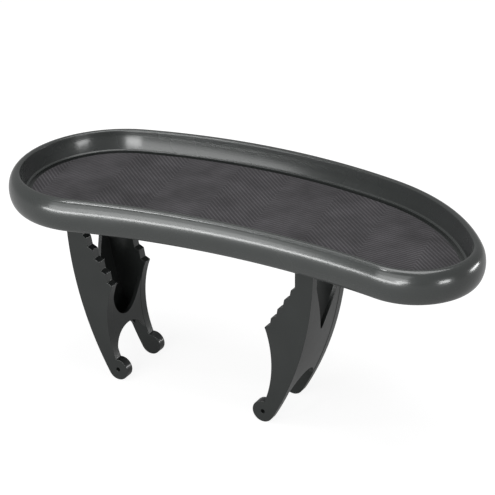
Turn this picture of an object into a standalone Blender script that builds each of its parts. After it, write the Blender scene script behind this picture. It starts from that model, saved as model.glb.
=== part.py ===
"""Hot tub tray: a kidney-shaped tray on two sprung legs that hook under the top of a tub wall.

+Z is up, X runs along the tray and -Y is the hollow front side. The origin is on the ground, below the
middle of the tray. Sizes are in millimetres here and are turned to metres where a mesh is made.
"""
import math

import bmesh
import bpy
from mathutils import Matrix, Vector

MM = 0.001

# Outline of the tray's opening, six tangent arcs: a nose and a shoulder at each end, the back and the front
NOSE_SPACING = 407.0          # between the centres of the two nose circles
LEFT_NOSE_RADIUS = 83.0
RIGHT_NOSE_RADIUS = 59.5
LEFT_SHOULDER_RADIUS = 110.0
RIGHT_SHOULDER_RADIUS = 234.0
LEFT_JOIN_ANGLE = 206.0       # where the nose turns into the shoulder, from +X
RIGHT_JOIN_ANGLE = 35.0
BACK_RADIUS = 621.0
FRONT_RADIUS = 863.0          # hollow
OUTLINE_TOLERANCE = 0.2       # how far a straight edge may lie inside its arc

# Section of the shell. Offsets are measured outwards from the opening, heights down from the rim's crest
SHELL_WALL = 2.8
RIM_HALF_WIDTH = 10.5
RIM_HALF_HEIGHT = 19.8
RIM_CENTRE_OUT = 5.5          # middle of the rolled rim, outside the opening
WALL_SLOPE = 2.2              # how far the inner wall leans in from top to bottom
DECK_DEPTH = 24.2             # crest to the ledge round the mat
LEDGE_WIDTH = 5.0
RECESS_DEPTH = 3.0
RIM_START_ANGLE = 110.0       # the roll runs from the wall's top over the crest and under
RIM_END_ANGLE = -66.0
RIM_STEPS = 8

# Mat in the recess
MAT_THICKNESS = 2.5
MAT_SIDE_GAP = 0.8

# Clearances
TOUCH = 0.3                   # faces that bear on each other
RUNNING = 0.3                 # round a pin
SIDE_PLAY = 0.6               # between a bracket's lug and a leg's plate

# Leg profile, measured from the hinge: in is towards the other leg, down is positive
LEG_WIDTH = 81.0              # along Y
PLATE_THICKNESS = 10.8
WEB_THICKNESS = 4.5
WEB_INSET = 0.4               # the webs lie just inside the plates' edges
WEB_ROOT = 1.0                # how far a web runs into each plate
NECK_RADIUS = 10.9
LAST_TOOTH_IN = 48.8
LAST_TOOTH_DOWN = 74.2
STEP_IN = 8.2
STEP_DOWN = 13.3
STEPS = 4                     # above the last tooth
TREAD_LENGTH = 6.3
TREAD_RISE = 2.8
TOOTH_RADIUS = 1.2
KNOB_RADIUS = 13.0
KNOB_IN = 52.0
KNOB_DOWN = 182.3
KNOB_HOLE_RADIUS = 2.5
KNOB_HOLE_DEPTH = 6.0
KNOB_JOIN_ANGLE = 100.0       # where the hollow inner edge meets the knob
OUTER_EDGE_RADIUS = 400.0
WAIST_DEPTH = 8.6             # how far the inner edge is hollowed between the last tooth and the knob

# Cuts in the webs that join a leg's two plates
U_DEPTH = 54.0                # below the last tooth, in the inner web
V_TOP_DOWN = 17.0             # below the hinge, where the outer web starts
V_BELOW_TOOTH = 12.5
V_TIP_RADIUS = 4.0
ARCH_TOP_BELOW_TOOTH = 66.8
ARCH_HEIGHT = 30.0

# Where the legs are under the tray
JAW_OPENING = 200.0           # between the last teeth of the two legs
JAW_CENTRE = -49.2            # along X, from the middle of the nose spacing
LEG_CENTRE_Y = -13.5

# Hinge bracket under the deck
BASE_THICKNESS = 3.0
BASE_LENGTH = 54.0
BASE_CORNER_RADIUS = 4.0
BASE_INSET = 0.4              # the base lies just inside the lugs' outer faces
LUG_THICKNESS = 4.0
LUG_RADIUS = 8.0
LUG_FOOT = 12.0               # half width of a lug where it meets the base
BOSS_RADIUS = 4.2
BOSS_LENGTH = 6.0
SCREW_SPACING_X = 40.0
SCREW_SPACING_Y = 36.0

# Hinge pin and its retaining ring
PIN_RADIUS = 3.0
PIN_HEAD_RADIUS = 5.2
PIN_HEAD_THICKNESS = 2.4
PIN_BLIND_DEPTH = 7.0         # how far the pin enters the front plate
GROOVE_DEPTH = 0.4
CLIP_THICKNESS = 0.9
CLIP_RADIUS = 6.0
CLIP_GAP_ANGLE = 50.0

# Torsion spring
WIRE_RADIUS = 0.9
SPRING_RADIUS = 6.7           # to the middle of the wire
SPRING_TURNS = 6
SPRING_PITCH = 2.5
COIL_POINTS = 10              # in one turn
SPRING_TAIL_UP = 15.0         # the tail that lies under the bracket
SPRING_TAIL_DOWN = 27.0       # the tail that presses on the leg's peg
SPRING_CLIP_GAP = 2.2         # from the retaining ring to the coil
PEG_RADIUS = 2.4
PEG_DOWN = 23.0

# Screws
SCREW_RADIUS = 1.9
SCREW_HEAD_RADIUS = 3.9
SCREW_HEAD_HEIGHT = 2.0
SCREW_LENGTH = 10.6

# Rubber pads that sit on the tub wall
PAD_LENGTH = 100.0
PAD_WIDTH = 20.0
PAD_PROUD = 0.8               # how far the pads stand below the rim's lip
PAD_SPACING = 110.0
PAD_CENTRE_Y = 12.0

# Levels under the crest, worked out from the sizes above
RECESS_LEVEL = -(DECK_DEPTH + RECESS_DEPTH)
DECK_UNDERSIDE = RECESS_LEVEL - SHELL_WALL
HINGE_LEVEL = DECK_UNDERSIDE - TOUCH - NECK_RADIUS
GROUND_LEVEL = HINGE_LEVEL - KNOB_DOWN - KNOB_RADIUS
HINGE_SPACING = JAW_OPENING + 2 * LAST_TOOTH_IN
FORK_GAP = LEG_WIDTH - 2 * PLATE_THICKNESS
LUG_OUTER = FORK_GAP / 2 - SIDE_PLAY
LUG_INNER = LUG_OUTER - LUG_THICKNESS
RIM_OUT = RIM_CENTRE_OUT + RIM_HALF_WIDTH
LIP_LEVEL = RIM_HALF_HEIGHT * (math.sin(math.radians(RIM_END_ANGLE)) - 1.0)
PAD_THICKNESS = DECK_UNDERSIDE - TOUCH - LIP_LEVEL + PAD_PROUD

# Colours of the photographed surfaces, roughness and metallic value
FINISHES = {
    "shell_plastic": ((0.072, 0.078, 0.076), 0.22, 0.35),
    "leg_plastic": ((0.066, 0.072, 0.070), 0.30, 0.25),
    "mat_rubber": ((0.078, 0.074, 0.080), 0.75, 0.0),
    "pad_rubber": ((0.020, 0.020, 0.021), 0.85, 0.0),
    "bracket_plastic": ((0.030, 0.031, 0.032), 0.45, 0.0),
    "steel": ((0.560, 0.565, 0.570), 0.28, 1.0),
    "spool_plastic": ((0.620, 0.610, 0.570), 0.50, 0.0),
}


def circle_crossing(centre_a, radius_a, centre_b, radius_b, side):
    """Where two circles cross, to the left of the way from a to b for side +1, to the right for -1."""
    along = centre_b - centre_a
    distance = along.length
    along.normalize()
    across = Vector((-along.y, along.x))
    reach = (radius_a ** 2 - radius_b ** 2 + distance ** 2) / (2 * distance)
    height = math.sqrt(max(radius_a ** 2 - reach ** 2, 0.0))
    return centre_a + along * reach + across * height * side


def heading(vector):
    return math.atan2(vector.y, vector.x)


def turn_heading(vector):
    """The same angle from 0 to a full turn, for arcs that pass through -X."""
    return heading(vector) % (2 * math.pi)


def polar(centre, radius, angle):
    return Vector((centre.x + radius * math.cos(angle), centre.y + radius * math.sin(angle)))


def arc(centre, radius, start, end, steps):
    """Points from the start angle to the end angle, both in radians and both included."""
    return [polar(centre, radius, start + (end - start) * i / steps) for i in range(steps + 1)]


class Outline:
    """The kidney outline as tangent arcs, which can be offset outwards by any amount."""

    def __init__(self):
        left = Vector((-NOSE_SPACING / 2, 0.0))
        right = Vector((NOSE_SPACING / 2, 0.0))
        left_join = math.radians(LEFT_JOIN_ANGLE)
        right_join = math.radians(RIGHT_JOIN_ANGLE)
        left_shoulder = polar(left, LEFT_NOSE_RADIUS - LEFT_SHOULDER_RADIUS, left_join)
        right_shoulder = polar(right, RIGHT_NOSE_RADIUS - RIGHT_SHOULDER_RADIUS, right_join)
        back = circle_crossing(left_shoulder, BACK_RADIUS - LEFT_SHOULDER_RADIUS,
                               right_shoulder, BACK_RADIUS - RIGHT_SHOULDER_RADIUS, -1)
        front = circle_crossing(left, FRONT_RADIUS + LEFT_NOSE_RADIUS,
                                right, FRONT_RADIUS + RIGHT_NOSE_RADIUS, -1)
        back_start = heading(right_shoulder - back)
        back_end = heading(left_shoulder - back)
        self.back_centre = back
        self.front_centre = front
        self.stations = []
        self.add_arc(right, RIGHT_NOSE_RADIUS, heading(front - right), right_join)
        self.add_arc(right_shoulder, RIGHT_SHOULDER_RADIUS, right_join, back_start)
        self.add_arc(back, BACK_RADIUS, back_start, back_end)
        self.add_arc(left_shoulder, LEFT_SHOULDER_RADIUS, back_end, left_join)
        self.add_arc(left, LEFT_NOSE_RADIUS, left_join, heading(front - left) + 2 * math.pi)
        self.add_arc(front, FRONT_RADIUS, heading(left - front), heading(right - front), outward=-1)

    def add_arc(self, centre, radius, start, end, outward=1):
        step = 2 * math.acos(1 - OUTLINE_TOLERANCE / radius)
        steps = math.ceil(abs(end - start) / step)
        for i in range(steps):
            self.stations.append((centre, radius, outward, start + (end - start) * i / steps))

    def loop(self, offset):
        return [polar(centre, radius + outward * offset, angle)
                for centre, radius, outward, angle in self.stations]


OUTLINE = Outline()
OUTER_LOOP = OUTLINE.loop(RIM_OUT)
MIDDLE_X = (min(point.x for point in OUTER_LOOP) + max(point.x for point in OUTER_LOOP)) / 2
MIDDLE_Y = (min(point.y for point in OUTER_LOOP) + max(point.y for point in OUTER_LOOP)) / 2


def clear_scene():
    for obj in list(bpy.data.objects):
        bpy.data.objects.remove(obj, do_unlink=True)


def new_collection(name):
    collection = bpy.data.collections.new(name)
    bpy.context.scene.collection.children.link(collection)
    return collection


clear_scene()
PARTS = new_collection("hot_tub_tray")
CUTTERS = new_collection("cutters")


def finish(name):
    """The material of that name, made once."""
    material = bpy.data.materials.get(name)
    if material is None:
        colour, roughness, metallic = FINISHES[name]
        material = bpy.data.materials.new(name)
        material.use_nodes = True
        shader = material.node_tree.nodes["Principled BSDF"]
        shader.inputs["Base Color"].default_value = (*colour, 1.0)
        shader.inputs["Roughness"].default_value = roughness
        shader.inputs["Metallic"].default_value = metallic
    return material


def add_empty(name, location, parent=None):
    empty = bpy.data.objects.new(name, None)
    PARTS.objects.link(empty)
    empty.parent = parent
    empty.location = Vector(location) * MM
    bpy.context.view_layer.update()
    return empty


def add_mesh(name, bm, parent, slot=None, smooth=True):
    """A part from a bmesh in metres, or a cutter where no slot is given."""
    mesh = bpy.data.meshes.new(name)
    bm.to_mesh(mesh)
    bm.free()
    if smooth:
        mesh.shade_smooth()
        mesh.set_sharp_from_angle(angle=math.radians(35))
    obj = bpy.data.objects.new(name, mesh)
    obj.parent = parent
    if slot is None:
        CUTTERS.objects.link(obj)
        obj.hide_render = True
        obj.display_type = "WIRE"
    else:
        PARTS.objects.link(obj)
        mesh.materials.append(finish(slot))
    return obj


def add_cutter(name, bm, parent):
    return add_mesh(name, bm, parent, smooth=False)


def cut(obj, cutter, operation="DIFFERENCE"):
    modifier = obj.modifiers.new(cutter.name, "BOOLEAN")
    modifier.operation = operation
    modifier.object = cutter
    modifier.solver = "EXACT"


# Turns a flat outline, drawn in X and Y, to stand in another plane
PLANES = {
    "XY": Matrix.Identity(4),
    "XZ": Matrix.Rotation(math.radians(90), 4, "X"),
    "YZ": Matrix.Rotation(math.radians(90), 4, "Z") @ Matrix.Rotation(math.radians(90), 4, "X"),
}


def slab(points, thickness, plane="XY", centre=(0.0, 0.0, 0.0)):
    """A bmesh of a flat outline with thickness, centred on its plane, made from a filled 2D curve."""
    curve = bpy.data.curves.new("slab", "CURVE")
    curve.dimensions = "2D"
    curve.fill_mode = "BOTH"
    curve.extrude = thickness * MM / 2
    spline = curve.splines.new("POLY")
    spline.points.add(len(points) - 1)
    for point, (x, y) in zip(spline.points, points):
        point.co = (x * MM, y * MM, 0.0, 1.0)
    spline.use_cyclic_u = True
    guide = bpy.data.objects.new("slab", curve)
    CUTTERS.objects.link(guide)
    guide.matrix_world = Matrix.Translation(Vector(centre) * MM) @ PLANES[plane]
    bpy.context.view_layer.update()
    evaluated = guide.evaluated_get(bpy.context.evaluated_depsgraph_get())
    mesh = bpy.data.meshes.new_from_object(evaluated)
    bm = bmesh.new()
    bm.from_mesh(mesh)
    bm.transform(guide.matrix_world)
    bmesh.ops.remove_doubles(bm, verts=bm.verts, dist=0.00001)
    bmesh.ops.recalc_face_normals(bm, faces=bm.faces)
    bpy.data.objects.remove(guide)
    bpy.data.curves.remove(curve)
    bpy.data.meshes.remove(mesh)
    return bm


def rod(radius, length, axis, centre, segments=24, end_radius=None):
    """A bmesh of a cylinder, or of a cone with its end radius at the positive end of the axis."""
    bm = bmesh.new()
    turn = {"X": Matrix.Rotation(math.radians(90), 4, "Y"),
            "Y": Matrix.Rotation(math.radians(-90), 4, "X"),
            "Z": Matrix.Identity(4)}[axis]
    bmesh.ops.create_cone(bm, cap_ends=True, cap_tris=False, segments=segments,
                          radius1=radius * MM, radius2=(end_radius or radius) * MM, depth=length * MM,
                          matrix=Matrix.Translation(Vector(centre) * MM) @ turn)
    return bm


def turned(name, profile, parent, slot, axis="Z", centre=(0.0, 0.0, 0.0), steps=24):
    """A part turned about an axis. The profile's points are (radius, height), top to bottom."""
    bm = bmesh.new()
    verts = [bm.verts.new((radius * MM, 0.0, height * MM)) for radius, height in profile]
    for above, below in zip(verts, verts[1:]):
        bm.edges.new((above, below))
    obj = add_mesh(name, bm, parent, slot, smooth=False)
    screw = obj.modifiers.new("turn", "SCREW")
    screw.axis = "Z"
    screw.steps = steps
    screw.render_steps = steps
    screw.use_merge_vertices = True
    screw.merge_threshold = 0.00001
    screw.use_smooth_shade = False
    obj.location = Vector(centre) * MM
    if axis == "Y":
        obj.rotation_euler = (math.radians(-90), 0.0, 0.0)
    return obj


def join(target, other):
    """Adds the geometry of one bmesh to another."""
    mesh = bpy.data.meshes.new("join")
    other.to_mesh(mesh)
    other.free()
    target.from_mesh(mesh)
    bpy.data.meshes.remove(mesh)
    return target


def rounded(corners, steps=2):
    """A polygon from (x, y, radius) corners, each corner with a radius turned to an arc."""
    points = []
    for i, (x, y, radius) in enumerate(corners):
        corner = Vector((x, y))
        if radius == 0:
            points.append(corner)
            continue
        before = Vector(corners[i - 1][:2]) - corner
        after = Vector(corners[(i + 1) % len(corners)][:2]) - corner
        half = before.angle(after) / 2
        reach = min(radius / math.tan(half), 0.45 * before.length, 0.45 * after.length)
        start = corner + before.normalized() * reach
        end = corner + after.normalized() * reach
        for step in range(steps + 1):
            t = step / steps
            points.append((start * (1 - t) + corner * t) * (1 - t) + (corner * (1 - t) + end * t) * t)
    return points


def shell_section():
    """Points (offset, height) of the shell's upper side, from the mat recess to the rim's hidden lip."""
    foot = -WALL_SLOPE
    ledge_inner = foot - LEDGE_WIDTH
    points = [(ledge_inner, RECESS_LEVEL), (ledge_inner, -DECK_DEPTH)]
    points += [(foot - 2.6, -DECK_DEPTH), (foot - 0.8, -DECK_DEPTH + 1.2), (foot, -DECK_DEPTH + 3.6)]
    start = math.radians(RIM_START_ANGLE)
    end = math.radians(RIM_END_ANGLE)
    for i in range(RIM_STEPS + 1):
        angle = start + (end - start) * i / RIM_STEPS
        points.append((RIM_CENTRE_OUT + RIM_HALF_WIDTH * math.cos(angle),
                       RIM_HALF_HEIGHT * (math.sin(angle) - 1.0)))
    return points


def leg_frame(side):
    """Centre of a leg's hinge under the tray. Side is -1 for the left leg and +1 for the right one."""
    return Vector((JAW_CENTRE + side * HINGE_SPACING / 2, LEG_CENTRE_Y, HINGE_LEVEL))


def screw_places(side):
    hinge = leg_frame(side)
    return [(hinge.x + sx * SCREW_SPACING_X / 2, hinge.y + sy * SCREW_SPACING_Y / 2)
            for sx in (-1, 1) for sy in (-1, 1)]


def build_shell(tray):
    """The deck, wall and rolled rim: a disc whose edge is drawn out ring by ring, then thickened."""
    section = shell_section()
    stations = len(OUTLINE.stations)
    bm = bmesh.new()
    bmesh.ops.create_circle(bm, cap_ends=True, segments=stations, radius=NOSE_SPACING * MM)
    bm.verts.ensure_lookup_table()
    ring = list(bm.verts)
    for level, (offset, height) in enumerate(section):
        if level > 0:
            edges = [edge for edge in bm.edges if edge.is_boundary]
            drawn = bmesh.ops.extrude_edge_only(bm, edges=edges)
            fresh = [item for item in drawn["geom"] if isinstance(item, bmesh.types.BMVert)]
            place = {vert: i for i, vert in enumerate(ring)}
            for vert in fresh:
                for edge in vert.link_edges:
                    if edge.other_vert(vert) in place:
                        ring[place[edge.other_vert(vert)]] = vert
        for vert, point in zip(ring, OUTLINE.loop(offset)):
            vert.co = Vector((point.x, point.y, height)) * MM
    bmesh.ops.recalc_face_normals(bm, faces=bm.faces)
    if max(bm.faces, key=lambda face: face.calc_area()).normal.z < 0:
        bmesh.ops.reverse_faces(bm, faces=bm.faces)
    shell = add_mesh("tray_shell", bm, tray, "shell_plastic")
    wall = shell.modifiers.new("wall", "SOLIDIFY")
    wall.thickness = SHELL_WALL * MM
    wall.offset = -1.0
    wall.use_even_offset = True
    holes = bmesh.new()
    for side in (-1, 1):
        for x, y in screw_places(side):
            middle = RECESS_LEVEL - SHELL_WALL / 2
            join(holes, rod(SCREW_RADIUS + RUNNING, 2 * SHELL_WALL, "Z", (x, y, middle), 16))
    cut(shell, add_cutter("screw_holes", holes, tray))
    sinks = bmesh.new()
    for side in (-1, 1):
        for x, y in screw_places(side):
            depth = SCREW_HEAD_HEIGHT
            join(sinks, rod(SCREW_RADIUS + RUNNING, depth, "Z", (x, y, RECESS_LEVEL - depth / 2 + 0.01), 16,
                            SCREW_HEAD_RADIUS + RUNNING))
    cut(shell, add_cutter("screw_sinks", sinks, tray))
    return shell


def build_mat(tray):
    edge = OUTLINE.loop(-WALL_SLOPE - LEDGE_WIDTH - MAT_SIDE_GAP)
    level = RECESS_LEVEL + TOUCH + MAT_THICKNESS / 2
    return add_mesh("deck_mat", slab(edge, MAT_THICKNESS, centre=(0, 0, level)), tray, "mat_rubber")


def build_pads(tray):
    for side, name in ((-1, "left_seat_pad"), (1, "right_seat_pad")):
        half_x = PAD_WIDTH / 2
        half_y = PAD_LENGTH / 2
        corners = [(-half_x, -half_y, 5), (half_x, -half_y, 5), (half_x, half_y, 5), (-half_x, half_y, 5)]
        middle = DECK_UNDERSIDE - TOUCH - PAD_THICKNESS / 2
        centre = (JAW_CENTRE + side * PAD_SPACING / 2, PAD_CENTRE_Y, middle)
        add_mesh(name, slab(rounded(corners, 4), PAD_THICKNESS, centre=centre), tray, "pad_rubber")


def leg_edges():
    """The leg's outline in (in, up) from the hinge, as its named stretches."""
    knob = Vector((KNOB_IN, -KNOB_DOWN))
    tooth = Vector((LAST_TOOTH_IN, -LAST_TOOTH_DOWN))
    neck = [Vector((NECK_RADIUS, NECK_RADIUS))]
    tips = [tooth + Vector((-STEP_IN, STEP_DOWN)) * i for i in range(STEPS + 1)]
    stairs = []
    for tip in reversed(tips):
        root = tip + Vector((-TREAD_LENGTH, TREAD_RISE))
        if tip is tips[-1]:
            root = Vector((NECK_RADIUS, tip.y + TREAD_RISE))
        stairs.append((root.x, root.y, 0))
        stairs.append((tip.x, tip.y, TOOTH_RADIUS))
    join_point = polar(knob, KNOB_RADIUS, math.radians(KNOB_JOIN_ANGLE))
    chord = join_point - tooth
    half = chord.length / 2
    waist_radius = (half ** 2 + WAIST_DEPTH ** 2) / (2 * WAIST_DEPTH)
    waist_centre = circle_crossing(tooth, waist_radius, join_point, waist_radius, 1)
    waist = arc(waist_centre, waist_radius, turn_heading(tooth - waist_centre),
                turn_heading(join_point - waist_centre), 12)
    shoulder = Vector((-NECK_RADIUS, 0.0))
    outer_centre = circle_crossing(shoulder, OUTER_EDGE_RADIUS, knob, OUTER_EDGE_RADIUS - KNOB_RADIUS, 1)
    knob_arc = arc(knob, KNOB_RADIUS, math.radians(KNOB_JOIN_ANGLE), heading(knob - outer_centre), 16)
    outer = arc(outer_centre, OUTER_EDGE_RADIUS, turn_heading(knob - outer_centre),
                turn_heading(shoulder - outer_centre), 14)
    crown = arc(Vector((0.0, 0.0)), NECK_RADIUS, math.pi, math.pi / 2, 6)
    return {"neck": neck, "stairs": rounded_stairs(stairs), "waist": waist, "knob": knob_arc,
            "outer": outer, "crown": crown, "outer_centre": outer_centre, "waist_centre": waist_centre,
            "waist_radius": waist_radius}


def rounded_stairs(corners):
    """Rounds the tooth tips, all but the last, whose lower side is the hollow edge."""
    lead = [(NECK_RADIUS, 0.0, 0)]
    end = [(LAST_TOOTH_IN - STEP_IN / 8, -LAST_TOOTH_DOWN - STEP_DOWN, 0)]
    full = rounded(lead + corners + end, 2)
    return full[1:-1]


def leg_profile():
    edges = leg_edges()
    points = edges["neck"] + edges["stairs"] + edges["waist"][1:] + edges["knob"][1:]
    return points + edges["outer"][1:] + edges["crown"][1:]


def web_bands():
    """The outer and inner webs seen from the side, each a band that follows its edge of the leg."""
    edges = leg_edges()
    outer_centre = edges["outer_centre"]
    low = turn_heading(edges["outer"][2] - outer_centre)
    high = turn_heading(edges["outer"][-1] - outer_centre)
    face = OUTER_EDGE_RADIUS - WEB_INSET
    outer = arc(outer_centre, face, low, high, 12)
    outer += arc(outer_centre, face - WEB_THICKNESS, high, low, 12)
    waist_centre = edges["waist_centre"]
    angles = [turn_heading(point - waist_centre) for point in edges["waist"]]
    face = edges["waist_radius"] + WEB_INSET
    inner = arc(waist_centre, face, angles[0], angles[-2], 10)
    inner += arc(waist_centre, face + WEB_THICKNESS, angles[-2], angles[0], 10)
    return outer, inner


def mirrored(points, side):
    """Profile points in (in, up) turned to (x, z) for one leg."""
    return [(-side * point[0], point[1]) for point in points]


def v_outline(half):
    """The outer web's V cut in (along the pin, up), with straight sides that run on into the plates."""
    tip = -LAST_TOOTH_DOWN - V_BELOW_TOOTH
    reach = half + 2 * WEB_ROOT
    top = tip + (-V_TOP_DOWN - tip) * reach / half
    corners = [(reach, 2 * NECK_RADIUS, 0), (-reach, 2 * NECK_RADIUS, 0), (-reach, top, 0),
               (0.0, tip, V_TIP_RADIUS), (reach, top, 0)]
    return rounded(corners, 6)


def u_outline(half):
    """The inner web's U cut."""
    reach = half + 2 * WEB_ROOT
    points = [(reach * math.cos(a), -LAST_TOOTH_DOWN + U_DEPTH * math.sin(a))
              for a in [math.pi + math.pi * i / 20 for i in range(21)]]
    return points + [(reach, 0.0), (-reach, 0.0)]


def arch_outline(half):
    """The arch through both webs, above the knobs."""
    reach = half + 2 * WEB_ROOT
    base = -LAST_TOOTH_DOWN - ARCH_TOP_BELOW_TOOTH - ARCH_HEIGHT
    points = [(reach * math.cos(a), base + ARCH_HEIGHT * math.sin(a))
              for a in [math.pi * i / 20 for i in range(21)]]
    foot = -KNOB_DOWN - 2 * KNOB_RADIUS
    return points + [(-reach, foot), (reach, foot)]


def build_leg(side, name, tray):
    """Two plates joined by an outer and an inner web, with the webs cut open and the pin's holes bored."""
    hinge = add_empty(name + "_hinge", leg_frame(side), tray)
    half_gap = FORK_GAP / 2
    web_width = FORK_GAP + 2 * WEB_ROOT
    outer_band, inner_band = web_bands()
    reach = 2 * (KNOB_IN + 2 * KNOB_RADIUS)
    arch = add_cutter(name + "_arch", slab(arch_outline(half_gap), reach, "YZ"), hinge)

    leg = add_mesh(name, slab(mirrored(outer_band, side), web_width, "XZ"), hinge, "leg_plastic")
    cut(leg, add_cutter(name + "_v_cut", slab(v_outline(half_gap), reach, "YZ"), hinge))
    cut(leg, arch)
    inner_web = add_cutter(name + "_inner_web", slab(mirrored(inner_band, side), web_width, "XZ"), hinge)
    cut(inner_web, add_cutter(name + "_u_cut", slab(u_outline(half_gap), reach, "YZ"), hinge))
    cut(inner_web, arch)
    cut(leg, inner_web, "UNION")

    for end, word in ((-1, "front"), (1, "rear")):
        middle = end * (LEG_WIDTH - PLATE_THICKNESS) / 2
        plate = slab(mirrored(leg_profile(), side), PLATE_THICKNESS, "XZ", (0, middle, 0))
        cut(leg, add_cutter(name + "_plate_" + word, plate, hinge), "UNION")

    peg_start = half_gap + WEB_ROOT
    peg_end = spring_end() - WIRE_RADIUS - 1.0
    peg_centre = (-side * peg_in(), (peg_start + peg_end) / 2, -PEG_DOWN)
    peg = rod(PEG_RADIUS, peg_start - peg_end, "Y", peg_centre, 12)
    cut(leg, add_cutter(name + "_peg", peg, hinge), "UNION")

    bore_end = half_gap + PIN_BLIND_DEPTH + TOUCH
    bore = rod(PIN_RADIUS + RUNNING, LEG_WIDTH, "Y", (0, LEG_WIDTH / 2 - bore_end, 0), 24)
    cut(leg, add_cutter(name + "_bore", bore, hinge))
    holes = bmesh.new()
    for end in (-1, 1):
        join(holes, rod(KNOB_HOLE_RADIUS, 2 * KNOB_HOLE_DEPTH, "Y",
                        (-side * KNOB_IN, end * LEG_WIDTH / 2, -KNOB_DOWN), 16))
    cut(leg, add_cutter(name + "_knob_holes", holes, hinge))


def clip_place():
    """Middle of the retaining ring along the pin, beside the rear lug."""
    return LUG_INNER - TOUCH - CLIP_THICKNESS / 2


def spring_end():
    """The coil's rear end along the pin."""
    return clip_place() - CLIP_THICKNESS / 2 - SPRING_CLIP_GAP


def peg_in():
    """The peg stands just inside the spring's tail."""
    return -(SPRING_RADIUS - WIRE_RADIUS - TOUCH - PEG_RADIUS)


def build_bracket(side, name, tray):
    hinge = leg_frame(side)
    half_x = BASE_LENGTH / 2
    half_y = LUG_OUTER - BASE_INSET
    base_top = DECK_UNDERSIDE - TOUCH
    corners = [(hinge.x + sx * half_x, hinge.y + sy * half_y, BASE_CORNER_RADIUS)
               for sx, sy in ((-1, -1), (1, -1), (1, 1), (-1, 1))]
    base = slab(rounded(corners, 4), BASE_THICKNESS, centre=(0, 0, base_top - BASE_THICKNESS / 2))
    bracket = add_mesh(name, base, tray, "bracket_plastic")
    top = base_top - BASE_THICKNESS / 2
    lug = arc(Vector((0.0, 0.0)), LUG_RADIUS, math.radians(190), math.radians(350), 12)
    lug = [(hinge.x + point.x, hinge.z + point.y) for point in lug]
    lug += [(hinge.x + LUG_FOOT, top), (hinge.x - LUG_FOOT, top)]
    for end in (-1, 1):
        place = (0, hinge.y + end * (LUG_OUTER + LUG_INNER) / 2, 0)
        word = "front" if end < 0 else "rear"
        cut(bracket, add_cutter(name + "_lug_" + word, slab(lug, LUG_THICKNESS, "XZ", place), tray), "UNION")
    bosses = bmesh.new()
    bores = rod(PIN_RADIUS + RUNNING, LEG_WIDTH, "Y", hinge, 24)
    for x, y in screw_places(side):
        length = BOSS_LENGTH + BASE_THICKNESS / 2
        join(bosses, rod(BOSS_RADIUS, length, "Z", (x, y, top - length / 2), 16))
        depth = SCREW_LENGTH + SCREW_HEAD_HEIGHT
        join(bores, rod(SCREW_RADIUS + RUNNING, depth, "Z",
                        (x, y, RECESS_LEVEL - SCREW_LENGTH - TOUCH + depth / 2), 16))
    cut(bracket, add_cutter(name + "_bosses", bosses, tray), "UNION")
    cut(bracket, add_cutter(name + "_bores", bores, tray))


def build_pin(side, word, tray):
    """The pin, with its head at the rear and its end in the front plate, and the ring in its groove."""
    hinge = leg_frame(side)
    head = LEG_WIDTH / 2 + TOUCH
    end = -(FORK_GAP / 2 + PIN_BLIND_DEPTH)
    groove = PIN_RADIUS - GROOVE_DEPTH
    groove_half = CLIP_THICKNESS / 2 + 0.2
    profile = [(0.0, head + PIN_HEAD_THICKNESS), (PIN_HEAD_RADIUS - 0.6, head + PIN_HEAD_THICKNESS),
               (PIN_HEAD_RADIUS, head + PIN_HEAD_THICKNESS - 0.6), (PIN_HEAD_RADIUS, head),
               (PIN_RADIUS, head), (PIN_RADIUS, clip_place() + groove_half),
               (groove, clip_place() + groove_half), (groove, clip_place() - groove_half),
               (PIN_RADIUS, clip_place() - groove_half), (PIN_RADIUS, end + 0.8),
               (PIN_RADIUS - 0.8, end), (0.0, end)]
    turned(word + "_hinge_pin", profile, tray, "steel", "Y", hinge)

    inner = groove + TOUCH
    opening = math.radians(CLIP_GAP_ANGLE / 2)
    down = -math.pi / 2
    start = down + opening
    end_angle = down - opening + 2 * math.pi
    ring = arc(Vector((hinge.x, hinge.z)), CLIP_RADIUS, start, end_angle, 20)
    ring += arc(Vector((hinge.x, hinge.z)), inner, end_angle, start, 20)
    clip = slab(ring, CLIP_THICKNESS, "XZ", (0, hinge.y + clip_place(), 0))
    add_mesh(word + "_pin_clip", clip, tray, "steel")


def build_spool(side, word, tray):
    hinge = leg_frame(side)
    top = clip_place() - CLIP_THICKNESS / 2 - TOUCH
    bottom = -LUG_INNER + TOUCH
    outside = SPRING_RADIUS - WIRE_RADIUS - 0.4
    inside = PIN_RADIUS + RUNNING
    profile = [(inside, top), (outside, top), (outside, bottom), (inside, bottom), (inside, top)]
    turned(word + "_spring_spool", profile, tray, "spool_plastic", "Y", hinge)


def least_gap(points):
    """The least space between stretches of the wire that aren't neighbours, in millimetres."""
    near = COIL_POINTS // 2
    least = min((a - b).length for i, a in enumerate(points) for b in points[i + near:])
    return least - 2 * WIRE_RADIUS


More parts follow.
